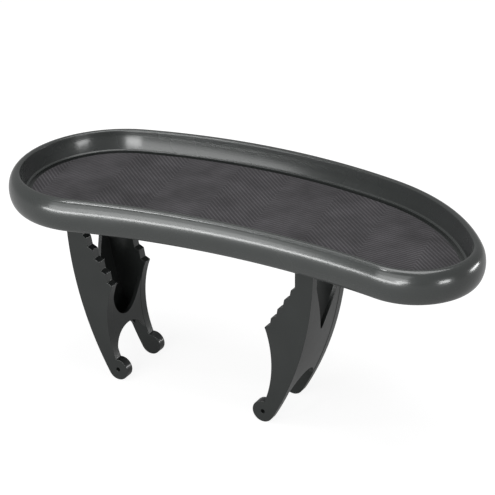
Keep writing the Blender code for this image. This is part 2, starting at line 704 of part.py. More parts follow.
def build_spring(side, word, tray):
    """One unbroken wire: a tail under the bracket, the coil and a tail down to the leg's peg."""
    hinge = leg_frame(side)
    coil_start = spring_end() - (SPRING_TURNS + 0.25) * SPRING_PITCH
    wire = [Vector((-side * SPRING_TAIL_UP, coil_start, SPRING_RADIUS))]
    steps = round((SPRING_TURNS + 0.25) * COIL_POINTS)
    sweep = (SPRING_TURNS + 0.25) * 2 * math.pi
    for i in range(steps + 1):
        angle = math.pi / 2 - side * sweep * i / steps
        y = coil_start + (spring_end() - coil_start) * i / steps
        wire.append(Vector((SPRING_RADIUS * math.cos(angle), y, SPRING_RADIUS * math.sin(angle))))
    last = wire[-1]
    wire.append(Vector((last.x, last.y, -SPRING_TAIL_DOWN)))
    print(word, "spring, least gap between turns:", round(least_gap(wire[1:-1]), 2), "mm")
    curve = bpy.data.curves.new(word + "_spring", "CURVE")
    curve.dimensions = "3D"
    curve.bevel_depth = WIRE_RADIUS * MM
    curve.bevel_resolution = 1
    curve.use_fill_caps = True
    spline = curve.splines.new("POLY")
    spline.points.add(len(wire) - 1)
    for point, place in zip(spline.points, wire):
        point.co = (*((place + hinge) * MM), 1.0)
    curve.materials.append(finish("steel"))
    obj = bpy.data.objects.new(word + "_spring", curve)
    PARTS.objects.link(obj)
    obj.parent = tray


def build_screws(side, word, tray):
    top = RECESS_LEVEL - 0.2
    profile = [(0.0, 0.0), (SCREW_HEAD_RADIUS, 0.0), (SCREW_RADIUS, -SCREW_HEAD_HEIGHT),
               (SCREW_RADIUS, -SCREW_LENGTH + 1.4), (0.4, -SCREW_LENGTH), (0.0, -SCREW_LENGTH)]
    for number, (x, y) in enumerate(screw_places(side), 1):
        turned(f"{word}_bracket_screw_{number}", profile, tray, "steel", centre=(x, y, top), steps=16)


def main():
    tray = add_empty("tray_frame", (-MIDDLE_X, -MIDDLE_Y, -GROUND_LEVEL))
    build_shell(tray)
    build_mat(tray)
    build_pads(tray)
    for side, word in ((-1, "left"), (1, "right")):
        build_leg(side, word + "_leg", tray)
        build_bracket(side, word + "_bracket", tray)
        build_pin(side, word, tray)
        build_spool(side, word, tray)
        build_spring(side, word, tray)
        build_screws(side, word, tray)


main()
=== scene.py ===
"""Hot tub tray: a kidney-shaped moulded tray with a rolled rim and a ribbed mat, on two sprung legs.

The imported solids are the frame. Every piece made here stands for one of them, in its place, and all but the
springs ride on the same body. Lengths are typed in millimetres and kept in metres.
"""

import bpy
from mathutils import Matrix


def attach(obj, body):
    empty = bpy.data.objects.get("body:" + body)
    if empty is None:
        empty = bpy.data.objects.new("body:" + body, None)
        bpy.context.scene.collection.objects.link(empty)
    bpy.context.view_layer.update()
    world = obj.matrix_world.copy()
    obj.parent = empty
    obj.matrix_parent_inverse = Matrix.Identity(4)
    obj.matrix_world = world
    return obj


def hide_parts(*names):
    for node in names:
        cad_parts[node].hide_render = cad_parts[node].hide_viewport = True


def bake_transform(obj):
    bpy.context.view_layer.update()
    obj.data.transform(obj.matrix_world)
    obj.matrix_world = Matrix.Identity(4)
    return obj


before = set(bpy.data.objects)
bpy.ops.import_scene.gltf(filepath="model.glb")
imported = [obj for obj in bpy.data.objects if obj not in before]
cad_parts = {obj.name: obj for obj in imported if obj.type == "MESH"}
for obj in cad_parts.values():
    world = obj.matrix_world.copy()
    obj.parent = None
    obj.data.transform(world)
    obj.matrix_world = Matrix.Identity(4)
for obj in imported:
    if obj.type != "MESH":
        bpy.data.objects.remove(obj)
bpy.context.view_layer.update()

import math

import bmesh
import bpy
from bpy.props import FloatProperty, FloatVectorProperty, IntProperty, PointerProperty
from mathutils import Matrix, Vector

bl_info = {
    "name": "Hot tub tray",
    "version": (1, 0, 0),
    "blender": (4, 5, 0),
    "location": "3D View > Sidebar > Tub tray",
    "description": "Builds a kidney-shaped hot tub tray on two sprung clamping legs",
    "category": "Add Mesh",
}

MM = 0.001
# The rim's crest above the middle of the two nose circles, which the outline is measured from
TRAY_ORIGIN = Vector((13.118805, -30.710281, 236.5)) * MM
# The middle of the jaw between the legs, from the tray's origin
JAW_MIDDLE = Vector((-49.2, -13.5)) * MM
SIDES = ((-1, "left"), (1, "right"))
ALONG_PIN = (0.0, 1.0, 0.0)
UPWARDS = (0.0, 0.0, 1.0)
# How near two points lie that are one: as drawn, after one turn, at one level, and round the whole outline
SAME_DRAWN, SAME_TURNED, SAME_LEVEL, SAME_SWEPT = 0.005 * MM, 0.01 * MM, 0.02 * MM, 0.03 * MM

# The studio, in metres
FLOOR_RADIUS = 12.0
CAMERA_PLACE = (1.00112, -1.71171, 1.1425)
CAMERA_YAW, CAMERA_PITCH, CAMERA_ROLL = (math.radians(a) for a in (30.47, 26.21, -0.74))
LAMP_TARGET = (0.0, 0.0, 0.2)
# Each lamp's name, place, size, level, and the dial in the panel that turns it up and down
LAMPS = (
    ("overhead", (0.0, 0.2, 2.4), (2.0, 1.6), 2.7, "key"),
    ("front_low_panel", (-0.22, -2.51, 0.83), (2.4, 0.75), 2.8, "key"),
    ("front_high_panel", (-0.19, -2.15, 1.65), (2.4, 1.1), 1.2, "key"),
    ("front_strip", (-0.7, -2.92, 0.2), (2.6, 0.34), 10.5, "strip"),
    ("wall_strip", (0.57, -2.94, 0.54), (0.94, 0.36), 7.2, "strip"),
    ("right_front_strip", (2.42, -0.7, 0.28), (0.7, 0.36), 10.0, "strip"),
    ("right_back_strip", (1.9, 1.6, 0.2), (0.9, 0.24), 11.0, "strip"),
    ("high_left_lamp", (-0.68, -0.87, 2.1), (0.28, 0.28), 14.0, "strip"),
)


def linear(code):
    """An sRGB hex colour as linear RGBA."""
    channels = [int(code[i:i + 2], 16) / 255 for i in (1, 3, 5)]
    return tuple(c / 12.92 if c <= 0.04045 else ((c + 0.055) / 1.055) ** 2.4 for c in channels) + (1.0,)


def length(name, millimetres, description):
    return FloatProperty(name=name, description=description, default=millimetres * MM, min=0.0, precision=5,
                         subtype="DISTANCE", unit="LENGTH")


def bearing(name, degrees, description):
    return FloatProperty(name=name, description=description, default=math.radians(degrees), subtype="ANGLE",
                         unit="ROTATION")


def colour(name, code, description):
    return FloatVectorProperty(name=name, description=description, default=linear(code), size=4, min=0.0,
                               max=1.0, subtype="COLOR")


def dial(name, default, description):
    return FloatProperty(name=name, description=description, default=default, min=0.0)


class TubTraySizes(bpy.types.PropertyGroup):
    """The moulded tray: its kidney outline, the section of its wall and rim, and its mat."""

    nose_spacing: length("Nose spacing", 407.0, "Between the centres of the two end circles")
    left_nose: length("Left nose", 83.0, "Radius of the opening at the larger end")
    right_nose: length("Right nose", 59.5, "Radius of the opening at the smaller end")
    left_shoulder: length("Left shoulder", 110.0, "Radius between the larger end and the back")
    right_shoulder: length("Right shoulder", 234.0, "Radius between the smaller end and the back")
    left_join: bearing("Left join", 206.0, "Where the larger end turns into its shoulder")
    right_join: bearing("Right join", 35.0, "Where the smaller end turns into its shoulder")
    back_radius: length("Back radius", 621.0, "Radius of the long bulging side")
    front_radius: length("Front radius", 863.0, "Radius of the long hollow side")
    station: length("Station", 4.0, "Distance between two sections along the outline")
    wall: length("Wall", 2.8, "Thickness of the moulding")
    rim_half_width: length("Rim half width", 10.5, "Half the width of the rolled rim")
    rim_half_height: length("Rim half height", 19.8, "Half the height of the rolled rim")
    rim_out: length("Rim centre", 5.5, "Middle of the rolled rim, outside the opening")
    rim_start: bearing("Rim start", 106.0, "Where the roll meets the inner wall")
    rim_end: bearing("Rim end", -66.0, "Where the roll ends under the tray")
    wall_slope: length("Wall slope", 2.2, "How far the inner wall leans in at its foot")
    deck_depth: length("Deck depth", 23.0, "From the crest down to the ledge round the mat")
    ledge: length("Ledge", 3.0, "Width of the ledge round the mat")
    recess: length("Recess", 4.2, "Depth of the mat's recess below the ledge")
    mat_thickness: length("Mat thickness", 2.5, "Thickness of the mat")
    mat_gap: length("Mat gap", 4.4, "Groove between the mat and its recess")
    rest_gap: length("Rest gap", 0.3, "Film of air between faces that bear on each other")
    rib_pitch: length("Rib pitch", 4.2, "Distance between two ribs of the mat")
    rib_band: length("Rib band", 65.0, "Width of a band of ribs that lean the same way")


class TubTrayLegSizes(bpy.types.PropertyGroup):
    """One leg, measured from its hinge: in is towards the other leg."""

    width: length("Width", 81.0, "Across both side plates, along the pin")
    plate: length("Plate", 10.8, "Thickness of a side plate")
    web: length("Web", 4.5, "Thickness of the webs between the plates")
    web_inset: length("Web inset", 0.4, "How far a web lies inside the plates' edges")
    web_root: length("Web root", 1.0, "How far a web runs into each plate")
    neck: length("Neck", 10.9, "Radius of the plate round the pin")
    tooth_in: length("Last tooth in", 48.8, "Tip of the lowest tooth, inwards")
    tooth_down: length("Last tooth down", 74.2, "Tip of the lowest tooth, downwards")
    step_in: length("Step in", 8.2, "Inward step from one tooth to the next")
    step_down: length("Step down", 13.3, "Downward step from one tooth to the next")
    steps: IntProperty(name="Steps", description="Teeth above the lowest one", default=4, min=1)
    tread: length("Tread", 6.3, "Length of a tooth's upper side")
    tread_rise: length("Tread rise", 2.8, "How much a tooth's upper side rises to its root")
    tooth_radius: length("Tooth radius", 1.2, "Rounding of a tooth's tip")
    knob: length("Knob", 13.0, "Radius of the round foot of a plate")
    knob_in: length("Knob in", 52.0, "Middle of the foot, inwards")
    knob_down: length("Knob down", 182.3, "Middle of the foot, downwards")
    knob_hole: length("Knob hole", 2.5, "Radius of the blind hole in the foot")
    knob_hole_depth: length("Hole depth", 6.0, "Depth of the blind hole in the foot")
    knob_join: bearing("Knob join", 100.0, "Where the hollow edge meets the foot")
    outer_edge: length("Outer edge", 400.0, "Radius of the bowed outer edge")
    waist: length("Waist", 8.6, "Depth of the hollow between the lowest tooth and the foot")
    edge: length("Edge rounding", 1.1, "Rounding of a plate's long edges")
    u_depth: length("U depth", 54.0, "Depth of the cut in the inner web below the lowest tooth")
    v_top: length("V top", 17.0, "Where the outer web starts below the hinge")
    v_below: length("V point", 12.5, "Point of the V below the lowest tooth")
    v_tip: length("V rounding", 4.0, "Rounding of the V's point")
    arch_below: length("Arch top", 66.8, "Top of the arch below the lowest tooth")
    arch_height: length("Arch height", 30.0, "Height of the arch's round part")
    jaw: length("Jaw", 200.0, "Opening between the lowest teeth of the two legs")


class TubTrayHingeSizes(bpy.types.PropertyGroup):
    """The hinge under the deck: bracket, pin, ring, spool, spring, screws and the seat pads."""

    side_play: length("Side play", 0.6, "Between a bracket's lug and a leg's plate")
    lug: length("Lug", 4.0, "Thickness of a lug")
    pin: length("Pin", 3.0, "Radius of the hinge pin")
    pin_head: length("Pin head", 5.2, "Radius of the pin's head")
    pin_head_height: length("Head height", 2.4, "Thickness of the pin's head")
    pin_blind: length("Pin end", 7.0, "How far the pin enters the front plate")
    groove: length("Groove", 0.4, "Depth of the groove for the ring")
    ring: length("Ring", 0.9, "Thickness of the retaining ring")
    wire: length("Wire", 0.9, "Radius of the spring's wire")
    coil: length("Coil", 6.7, "Radius of the coil, to the middle of the wire")
    pitch: length("Pitch", 2.5, "Distance between two turns")
    turns: FloatProperty(name="Turns", description="Turns of the coil", default=6.25, min=1.0)
    tail_up: length("Upper tail", 15.0, "Length of the tail under the bracket")
    tail_down: length("Lower tail", 27.0, "Reach of the tail that presses on the leg's peg")
    ring_gap: length("Ring to coil", 2.2, "From the retaining ring to the coil")
    peg: length("Peg", 2.4, "Radius of the peg on the leg")
    peg_down: length("Peg down", 23.0, "The peg's place below the hinge")
    screw: length("Screw", 1.9, "Radius of a screw's shank")
    screw_head: length("Screw head", 3.9, "Radius of a screw's countersunk head")
    screw_head_height: length("Screw head height", 2.0, "Height of the countersunk head")
    screw_length: length("Screw length", 10.6, "Length of a screw")
    screw_x: length("Screw spacing X", 40.0, "Between two screws along the tray")
    screw_y: length("Screw spacing Y", 36.0, "Between two screws along the pin")


class TubTrayFinishes(bpy.types.PropertyGroup):
    """Colours of the finishes."""

    shell: colour("Tray", "#454847", "Gunmetal moulding of the tray")
    # painted shade: the legs take the tray's gunmetal painted darker, standing in for the shade that falls on
    # them
    leg: colour("Legs", "#2E3130", "Gunmetal moulding of the legs")
    mat: colour("Mat", "#4C4A4D", "Ribbed mat")
    pad: colour("Pads", "#242425", "Rubber of the seat pads")
    bracket: colour("Brackets", "#303132", "Glass-filled nylon of the brackets")
    steel: colour("Steel", "#C4C5C6", "Zinc-plated steel of the pins, rings, springs and screws")
    spool: colour("Spools", "#CFCCC2", "Natural nylon of the spring spools")
    floor: colour("Floor", "#8C8C8C", "Studio floor")


class TubTrayStage(bpy.types.PropertyGroup):
    """Studio light and camera."""

    fill: dial("Fill", 0.24, "Level of the even light from all round")
    key: dial("Key", 1.0, "Level of the large soft lamp overhead and the two panels in front")
    strip: dial("Strips", 1.0, "Level of the smaller lamps that draw the streaks on the rim and the wall")
    lens: FloatProperty(name="Lens", description="Focal length in mm on a 36 mm sensor", default=142.1,
                        min=10.0)


def settings():
    return bpy.context.scene.hot_tub_tray


# Working in edit mode

def edit_all():
    """Edit mode by vertices, with the whole of the active piece selected."""
    bpy.ops.object.mode_set(mode="EDIT")
    bpy.ops.mesh.select_mode(type="VERT")
    bpy.ops.mesh.select_all(action="SELECT")


def face_out():
    bpy.ops.mesh.select_all(action="SELECT")
    bpy.ops.mesh.normals_make_consistent(inside=False)


def draw_line(name, points, closed=False):
    """A new piece with its origin at the frame's: a line of edges, drawn by extruding one vertex from point
    to point. All of it is left selected, in edit mode."""
    bpy.ops.object.select_all(action="DESELECT")
    bpy.ops.mesh.primitive_plane_add(size=MM, location=points[0])
    bpy.ops.object.transform_apply()
    piece = bpy.context.object
    piece.name = name
    piece.data.name = name
    edit_all()
    bpy.ops.mesh.merge(type="CENTER")
    route = list(points) + ([points[0]] if closed else [])
    for here, there in zip(route, route[1:]):
        bpy.ops.mesh.extrude_region_move(TRANSFORM_OT_translate={"value": Vector(there) - Vector(here)})
    bpy.ops.mesh.select_all(action="SELECT")
    bpy.ops.mesh.remove_doubles(threshold=SAME_DRAWN)
    return piece


def pick(kind, test):
    """Selects the vertices, edges or faces that pass the test, and nothing else. Returns how many."""
    bpy.ops.mesh.select_mode(type=kind)
    bpy.ops.mesh.select_all(action="DESELECT")
    mesh = bmesh.from_edit_mesh(bpy.context.object.data)
    items = {"VERT": mesh.verts, "EDGE": mesh.edges, "FACE": mesh.faces}[kind]
    found = [item for item in items if test(item)]
    for item in found:
        item.select_set(True)
    mesh.select_flush_mode()
    bmesh.update_edit_mesh(bpy.context.object.data)
    return len(found)


def extruded(name, outline, path, rounding=0.0):
    """A closed outline filled and drawn out along a path, with the edges round its two ends rounded."""
    piece = draw_line(name, outline, closed=True)
    bpy.ops.mesh.edge_face_add()
    bpy.ops.mesh.extrude_region_move(TRANSFORM_OT_translate={"value": path})
    face_out()
    if rounding:
        along = Vector(path).normalized()
        pick("EDGE", lambda edge: any(abs(face.normal.dot(along)) > 0.99 for face in edge.link_faces))
        bpy.ops.mesh.bevel(offset=rounding, segments=3, affect="EDGES", clamp_overlap=True)
    bpy.ops.object.mode_set(mode="OBJECT")
    return piece


def turned(name, profile, axis, centre, steps=48):
    """A profile of (radius, height) points spun once round an axis through the centre, poles closed."""
    along = Vector(axis)
    across = Vector((1.0, 0.0, 0.0))
    piece = draw_line(name, [centre + across * radius + along * height for radius, height in profile])
    bpy.ops.mesh.spin(steps=steps, angle=2 * math.pi, center=centre, axis=axis)
    bpy.ops.mesh.select_all(action="SELECT")
    bpy.ops.mesh.remove_doubles(threshold=SAME_TURNED)
    face_out()
    bpy.ops.object.mode_set(mode="OBJECT")
    return piece


def choose(piece):
    bpy.ops.object.select_all(action="DESELECT")
    piece.select_set(True)
    bpy.context.view_layer.objects.active = piece


def apply_modifier(piece, kind, **values):
    choose(piece)
    modifier = piece.modifiers.new(kind.lower(), kind)
    for key, value in values.items():
        setattr(modifier, key, value)
    bpy.ops.object.modifier_apply(modifier=modifier.name)


def combine(piece, other, operation):
    """Joins another solid to the piece, or cuts it away, and removes it."""
    apply_modifier(piece, "BOOLEAN", object=other, operation=operation, solver="EXACT")
    bpy.data.objects.remove(other)


def round_edges(piece, width, segments, degrees):
    """Rounds the edges where two faces turn by more than that angle."""
    apply_modifier(piece, "BEVEL", width=width, segments=segments, limit_method="ANGLE",
                   angle_limit=math.radians(degrees), use_clamp_overlap=True)


def smooth(piece, degrees=32.0, weighted=True):
    """Smooth shading that keeps the edges where two faces turn by more than that angle."""
    choose(piece)
    bpy.ops.object.shade_smooth_by_angle(angle=math.radians(degrees))
    if weighted:
        apply_modifier(piece, "WEIGHTED_NORMAL", keep_sharp=True, weight=80)


def own_copy(piece):
    """A copy of the piece with a mesh of its own, selected and active."""
    copy = piece.copy()
    copy.data = piece.data.copy()
    bpy.context.scene.collection.objects.link(copy)
    choose(copy)
    return copy


def mirrored(piece):
    """A copy of a piece of the left side, turned over to the right side of the jaw."""
    copy = own_copy(piece)
    edit_all()
    middle = (TRAY_ORIGIN.x + JAW_MIDDLE.x, 0.0, 0.0)
    bpy.ops.transform.resize(value=(-1.0, 1.0, 1.0), center_override=middle)
    bpy.ops.mesh.flip_normals()
    bpy.ops.object.mode_set(mode="OBJECT")
    return copy


def dress(piece, node, material, body="tray"):
    """The piece stands for the CAD node, rides on its body and takes the finish."""
    piece.name = "dressed_" + node
    piece.data.materials.clear()
    piece.data.materials.append(material)
    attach(piece, body)
    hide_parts(node)


def dress_pair(left, part, material, body="tray"):
    """A piece of the left side and its mirrored copy, smoothed and dressed. A body's {} takes the side."""
    for piece, (_, word) in zip((left, mirrored(left)), SIDES):
        smooth(piece)
        dress(piece, f"{word}_{part}", material, body.format(word))


def soften_pair(part, rounding, material, segments=2):
    """Copies of a part's two CAD nodes, merged to whole faces, their sharp edges rounded, and dressed."""
    for _, word in SIDES:
        node = f"{word}_{part}"
        piece = bpy.data.objects.new("softened_" + node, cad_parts[node].data.copy())
        bpy.context.scene.collection.objects.link(piece)
        choose(piece)
        edit_all()
        bpy.ops.mesh.remove_doubles(threshold=SAME_DRAWN)
        bpy.ops.mesh.dissolve_limited(angle_limit=math.radians(1.0))
        bpy.ops.object.mode_set(mode="OBJECT")
        round_edges(piece, rounding, segments, 40)
        smooth(piece)
        dress(piece, node, material)


# Outlines

def polar(centre, radius, angle):
    return Vector((centre[0] + radius * math.cos(angle), centre[1] + radius * math.sin(angle)))


def arc(centre, radius, start, end, steps):
    return [polar(centre, radius, start + (end - start) * i / steps) for i in range(steps + 1)]


def heading(vector):
    return math.atan2(vector.y, vector.x)


def turn_heading(vector):
    """The same angle from 0 to a full turn, for arcs that pass through -X."""
    return heading(vector) % (2 * math.pi)


def circle_crossing(centre_a, radius_a, centre_b, radius_b, side):
    """Where two circles cross, to the left of the way from a to b for side +1, to the right for -1."""
    along = centre_b - centre_a
    distance = along.length
    along.normalize()
    across = Vector((-along.y, along.x))
    reach = (radius_a ** 2 - radius_b ** 2 + distance ** 2) / (2 * distance)
    return centre_a + along * reach + across * side * math.sqrt(max(radius_a ** 2 - reach ** 2, 0.0))


def rounded(corners, steps=6):
    """A polygon from (x, y, radius) corners, each corner with a radius turned to a smooth bend."""
    points = []
    for i, (x, y, radius) in enumerate(corners):
        corner = Vector((x, y))
        if radius == 0:
            points.append(corner)
            continue
        before = Vector(corners[i - 1][:2]) - corner
        after = Vector(corners[(i + 1) % len(corners)][:2]) - corner
        reach = min(radius / math.tan(before.angle(after) / 2), 0.45 * before.length, 0.45 * after.length)
        start = corner + before.normalized() * reach
        end = corner + after.normalized() * reach
        for step in range(steps + 1):
            t = step / steps
            points.append((start * (1 - t) + corner * t) * (1 - t) + (corner * (1 - t) + end * t) * t)
    return points


def kidney_arcs(tray):
    """The outline of the opening as tangent arcs: centre, radius, start and end angle."""
    left = Vector((-tray.nose_spacing / 2, 0.0))
    right = Vector((tray.nose_spacing / 2, 0.0))
    left_shoulder = polar(left, tray.left_nose - tray.left_shoulder, tray.left_join)
    right_shoulder = polar(right, tray.right_nose - tray.right_shoulder, tray.right_join)
    back = circle_crossing(left_shoulder, tray.back_radius - tray.left_shoulder,
                           right_shoulder, tray.back_radius - tray.right_shoulder, -1)
    front = circle_crossing(left, tray.front_radius + tray.left_nose,
                            right, tray.front_radius + tray.right_nose, -1)
    back_start = heading(right_shoulder - back)
    back_end = heading(left_shoulder - back)
    return [
        (right, tray.right_nose, heading(front - right), tray.right_join),
        (right_shoulder, tray.right_shoulder, tray.right_join, back_start),
        (back, tray.back_radius, back_start, back_end),
        (left_shoulder, tray.left_shoulder, back_end, tray.left_join),
        (left, tray.left_nose, tray.left_join, heading(front - left) + 2 * math.pi),
        (front, tray.front_radius, heading(left - front), heading(right - front)),
    ]


def swept(name, tray, section):
    """A section of (out, height) points spun round each arc of the outline in turn, back to its start.
    It is left in edit mode."""
    arcs = kidney_arcs(tray)
    centre, radius, start, _ = arcs[0]
    points = []
    for out, height in section:
        place = polar(centre, radius + out, start)
        points.append(TRAY_ORIGIN + Vector((place.x, place.y, height)))
    piece = draw_line(name, points)
    for centre, radius, start, end in arcs:
        steps = max(2, round(abs(end - start) * radius / tray.station))
        pivot = TRAY_ORIGIN + Vector((centre.x, centre.y, 0.0))
        bpy.ops.mesh.spin(steps=steps, angle=end - start, center=pivot, axis=(0.0, 0.0, -1.0))
    bpy.ops.mesh.select_all(action="SELECT")
    bpy.ops.mesh.remove_doubles(threshold=SAME_SWEPT)
    return piece


def close_ring(level):
    """Fills the open ring of edges at that height."""
    pick("EDGE", lambda edge: edge.is_boundary and all(abs(v.co.z - level) < SAME_LEVEL for v in edge.verts))
    bpy.ops.mesh.edge_face_add()


def recess_level(tray):
    return -(tray.deck_depth + tray.recess)


def shell_section(tray):
    """The moulding's upper side from the mat's recess over the ledge, the wall and the crest to the lip."""
    ledge_in = -tray.wall_slope - tray.ledge
    foot_in = -tray.wall_slope - 0.6 * MM
    ledge_radius, foot_radius, top_radius = 0.6 * MM, 1.8 * MM, 3.0 * MM
    bow = 1.3
    roll_start = tray.rim_start - math.radians(14)
    roll_steps = 36

    def roll(angle):
        """A point of the rolled rim."""
        return Vector((tray.rim_out + tray.rim_half_width * math.cos(angle),
                       tray.rim_half_height * (math.sin(angle) - 1.0)))

    top = roll(tray.rim_start)

    def wall(share):
        """A point of the wall, which leans out a little more towards its foot."""
        return Vector((top.x + (foot_in - top.x) * share ** bow, top.y + (-tray.deck_depth - top.y) * share))

    points = rounded([(ledge_in, recess_level(tray), 0), (ledge_in, -tray.deck_depth, ledge_radius),
                      (foot_in, -tray.deck_depth, foot_radius), (*wall(0.8), 0)], 5)
    points += [wall(0.8 - 0.1 * i) for i in range(1, 6)]
    points += rounded([(*wall(0.2), 0), (*top, top_radius), (*roll(roll_start), 0)], 5)
    turn = tray.rim_end - roll_start
    return points + [roll(roll_start + turn * i / roll_steps) for i in range(1, roll_steps + 1)]


class TUBTRAY_OT_shell(bpy.types.Operator):
    """Moulded tray with its wall and rolled rim"""

    bl_idname = "tubtray.shell"
    bl_label = "Tray shell"

    def execute(self, context):
        tray = settings().tray
        shell = swept("tray", tray, shell_section(tray))
        close_ring(TRAY_ORIGIN.z + recess_level(tray))
        face_out()
        # an open sheet can come out either way round: its deck, the one face over 0.01 m2, has to face up
        if not pick("FACE", lambda face: face.calc_area() > 0.01 and face.normal.z > 0):
            bpy.ops.mesh.select_all(action="SELECT")
            bpy.ops.mesh.flip_normals()
        bpy.ops.object.mode_set(mode="OBJECT")
        apply_modifier(shell, "SOLIDIFY", thickness=tray.wall, offset=-1.0, use_even_offset=True)
        for x, y in screw_places(-1) + screw_places(1):
            combine(shell, screw_hole(x, y), "DIFFERENCE")
        round_edges(shell, 0.7 * MM, 3, 55)
        smooth(shell, 40.0)
        plastic = gunmetal_moulding("moulded_gunmetal_ABS", settings().finish.shell, 0.0)
        dress(shell, "tray_shell", plastic)
        return {"FINISHED"}


class TUBTRAY_OT_mat(bpy.types.Operator):
    """Ribbed rubber mat in the tray's recess"""

    bl_idname = "tubtray.mat"
    bl_label = "Deck mat"

    def execute(self, context):
        tray = settings().tray
        edge = -tray.wall_slope - tray.ledge - tray.mat_gap
        low = recess_level(tray) + tray.rest_gap
        high = low + tray.mat_thickness
        soft = 0.6 * MM
        section = [Vector((edge - soft, low)), Vector((edge, low))]
        section += rounded([(edge, low, 0), (edge, high, soft), (edge - 4 * soft, high, 0)], 5)[1:]
        mat = swept("mat", tray, section)
        close_ring(TRAY_ORIGIN.z + low)
        close_ring(TRAY_ORIGIN.z + high)
        face_out()
        bpy.ops.object.mode_set(mode="OBJECT")
        smooth(mat, 40.0)
        dress(mat, "deck_mat", ribbed_rubber())
        return {"FINISHED"}


# Legs

def hinge_place(side):
    """Middle of a leg's hinge. Side is -1 for the left leg and +1 for the right one."""
    leg = settings().leg
    tray = settings().tray
    spacing = leg.jaw + 2 * leg.tooth_in
    level = recess_level(tray) - tray.wall - tray.rest_gap - leg.neck
    return TRAY_ORIGIN + Vector((JAW_MIDDLE.x + side * spacing / 2, JAW_MIDDLE.y, level))


def leg_edges(leg):
    """The outline of a plate in (in, up) from the hinge, as its named stretches."""
    root_radius, top_root_radius = 0.5 * MM, 2.0 * MM
    knob = Vector((leg.knob_in, -leg.knob_down))
    tooth = Vector((leg.tooth_in, -leg.tooth_down))
    corners = [(leg.neck, 0.0, 0)]
    for i in range(leg.steps, -1, -1):
        tip = tooth + Vector((-leg.step_in, leg.step_down)) * i
        root = tip + Vector((-leg.tread, leg.tread_rise))
        radius = root_radius
        if i == leg.steps:
            root.x = leg.neck
            radius = top_root_radius
        corners += [(root.x, root.y, radius), (tip.x, tip.y, leg.tooth_radius)]
    # the last corner only says which way the lowest tooth's edge goes on
    corners.append((leg.tooth_in - leg.step_in / 8, -leg.tooth_down - leg.step_down, 0))
    stairs = rounded(corners, 4)[1:-1]
    join = polar(knob, leg.knob, leg.knob_join)
    half = (join - tooth).length / 2
    waist_radius = (half ** 2 + leg.waist ** 2) / (2 * leg.waist)
    waist_centre = circle_crossing(tooth, waist_radius, join, waist_radius, 1)
    waist = arc(waist_centre, waist_radius, turn_heading(tooth - waist_centre),
                turn_heading(join - waist_centre), 28)
    shoulder = Vector((-leg.neck, 0.0))
    outer_centre = circle_crossing(shoulder, leg.outer_edge, knob, leg.outer_edge - leg.knob, 1)
    foot = arc(knob, leg.knob, leg.knob_join, heading(knob - outer_centre), 36)
    outer = arc(outer_centre, leg.outer_edge, turn_heading(knob - outer_centre),
                turn_heading(shoulder - outer_centre), 40)
    crown = arc(Vector((0.0, 0.0)), leg.neck, math.pi, math.pi / 2, 12)
    return {"neck": [Vector((leg.neck, leg.neck))], "stairs": stairs, "waist": waist, "foot": foot,
            "outer": outer, "crown": crown, "outer_centre": outer_centre, "waist_centre": waist_centre,
            "waist_radius": waist_radius}


def leg_profile(leg):
    """The whole outline of a plate. The waist's first two points lie in the rounding of the lowest tooth."""
    edges = leg_edges(leg)
    points = edges["neck"] + edges["stairs"] + edges["waist"][2:] + edges["foot"][1:]
    return points + edges["outer"][1:] + edges["crown"][1:]


def web_bands(leg):
    """The outer and the inner web seen from the side, each a band along its edge of the leg. The bands stop
    a few points short of the knobs."""
    edges = leg_edges(leg)
    centre = edges["outer_centre"]
    low = turn_heading(edges["outer"][5] - centre)
    high = turn_heading(edges["outer"][-1] - centre)
    face = leg.outer_edge - leg.web_inset
    outer = arc(centre, face, low, high, 36) + arc(centre, face - leg.web, high, low, 36)
    centre = edges["waist_centre"]
    start = turn_heading(edges["waist"][0] - centre)
    end = turn_heading(edges["waist"][-3] - centre)
    face = edges["waist_radius"] + leg.web_inset
    inner = arc(centre, face, start, end, 28) + arc(centre, face + leg.web, end, start, 28)
    return outer, inner


def v_outline(leg, half):
    """The outer web's V cut in (along the pin, up)."""
    tip = -leg.tooth_down - leg.v_below
    reach = half + 2 * leg.web_root
    top = tip + (-leg.v_top - tip) * reach / half
    return rounded([(reach, 2 * leg.neck, 0), (-reach, 2 * leg.neck, 0), (-reach, top, 0),
                    (0.0, tip, leg.v_tip), (reach, top, 0)], 14)


def half_ellipse(reach, base, height, start, steps=40):
    """Half an ellipse in (along the pin, up), about the middle of a web, from its start angle on."""
    angles = [start + math.pi * i / steps for i in range(steps + 1)]
    return [Vector((reach * math.cos(a), base + height * math.sin(a))) for a in angles]


def u_outline(leg, half):
    """The inner web's U cut."""
    reach = half + 2 * leg.web_root
    return half_ellipse(reach, -leg.tooth_down, leg.u_depth, math.pi) + [Vector((reach, 0.0)),
                                                                         Vector((-reach, 0.0))]


def arch_outline(leg, half):
    """The arch through both webs, above the knobs."""
    reach = half + 2 * leg.web_root
    base = -leg.tooth_down - leg.arch_below - leg.arch_height
    foot = -leg.knob_down - 2 * leg.knob
    return half_ellipse(reach, base, leg.arch_height, 0.0) + [Vector((-reach, foot)), Vector((reach, foot))]


def seen_from_side(points, hinge, y):
    """Points in (in, up) placed for the left leg at a distance along the pin."""
    return [hinge + Vector((point[0], y, point[1])) for point in points]


def seen_from_end(points, hinge, x):
    """Points in (along the pin, up) placed at a distance in from the hinge."""
    return [hinge + Vector((x, point[0], point[1])) for point in points]


def cut_web(name, band, openings, leg, hinge):
    """A web: its band drawn out between the plates, its openings cut and their edges rounded."""
    width = leg.width - 2 * leg.plate + 2 * leg.web_root
    web = extruded(name, seen_from_side(band, hinge, -width / 2), (0.0, width, 0.0))
    reach = 2 * (leg.knob_in + 2 * leg.knob)
    for outline in openings:
        cutter = extruded(name + "_cut", seen_from_end(outline, hinge, -reach / 2), (reach, 0.0, 0.0))
        combine(web, cutter, "DIFFERENCE")
    round_edges(web, 0.8 * MM, 2, 50)
    return web


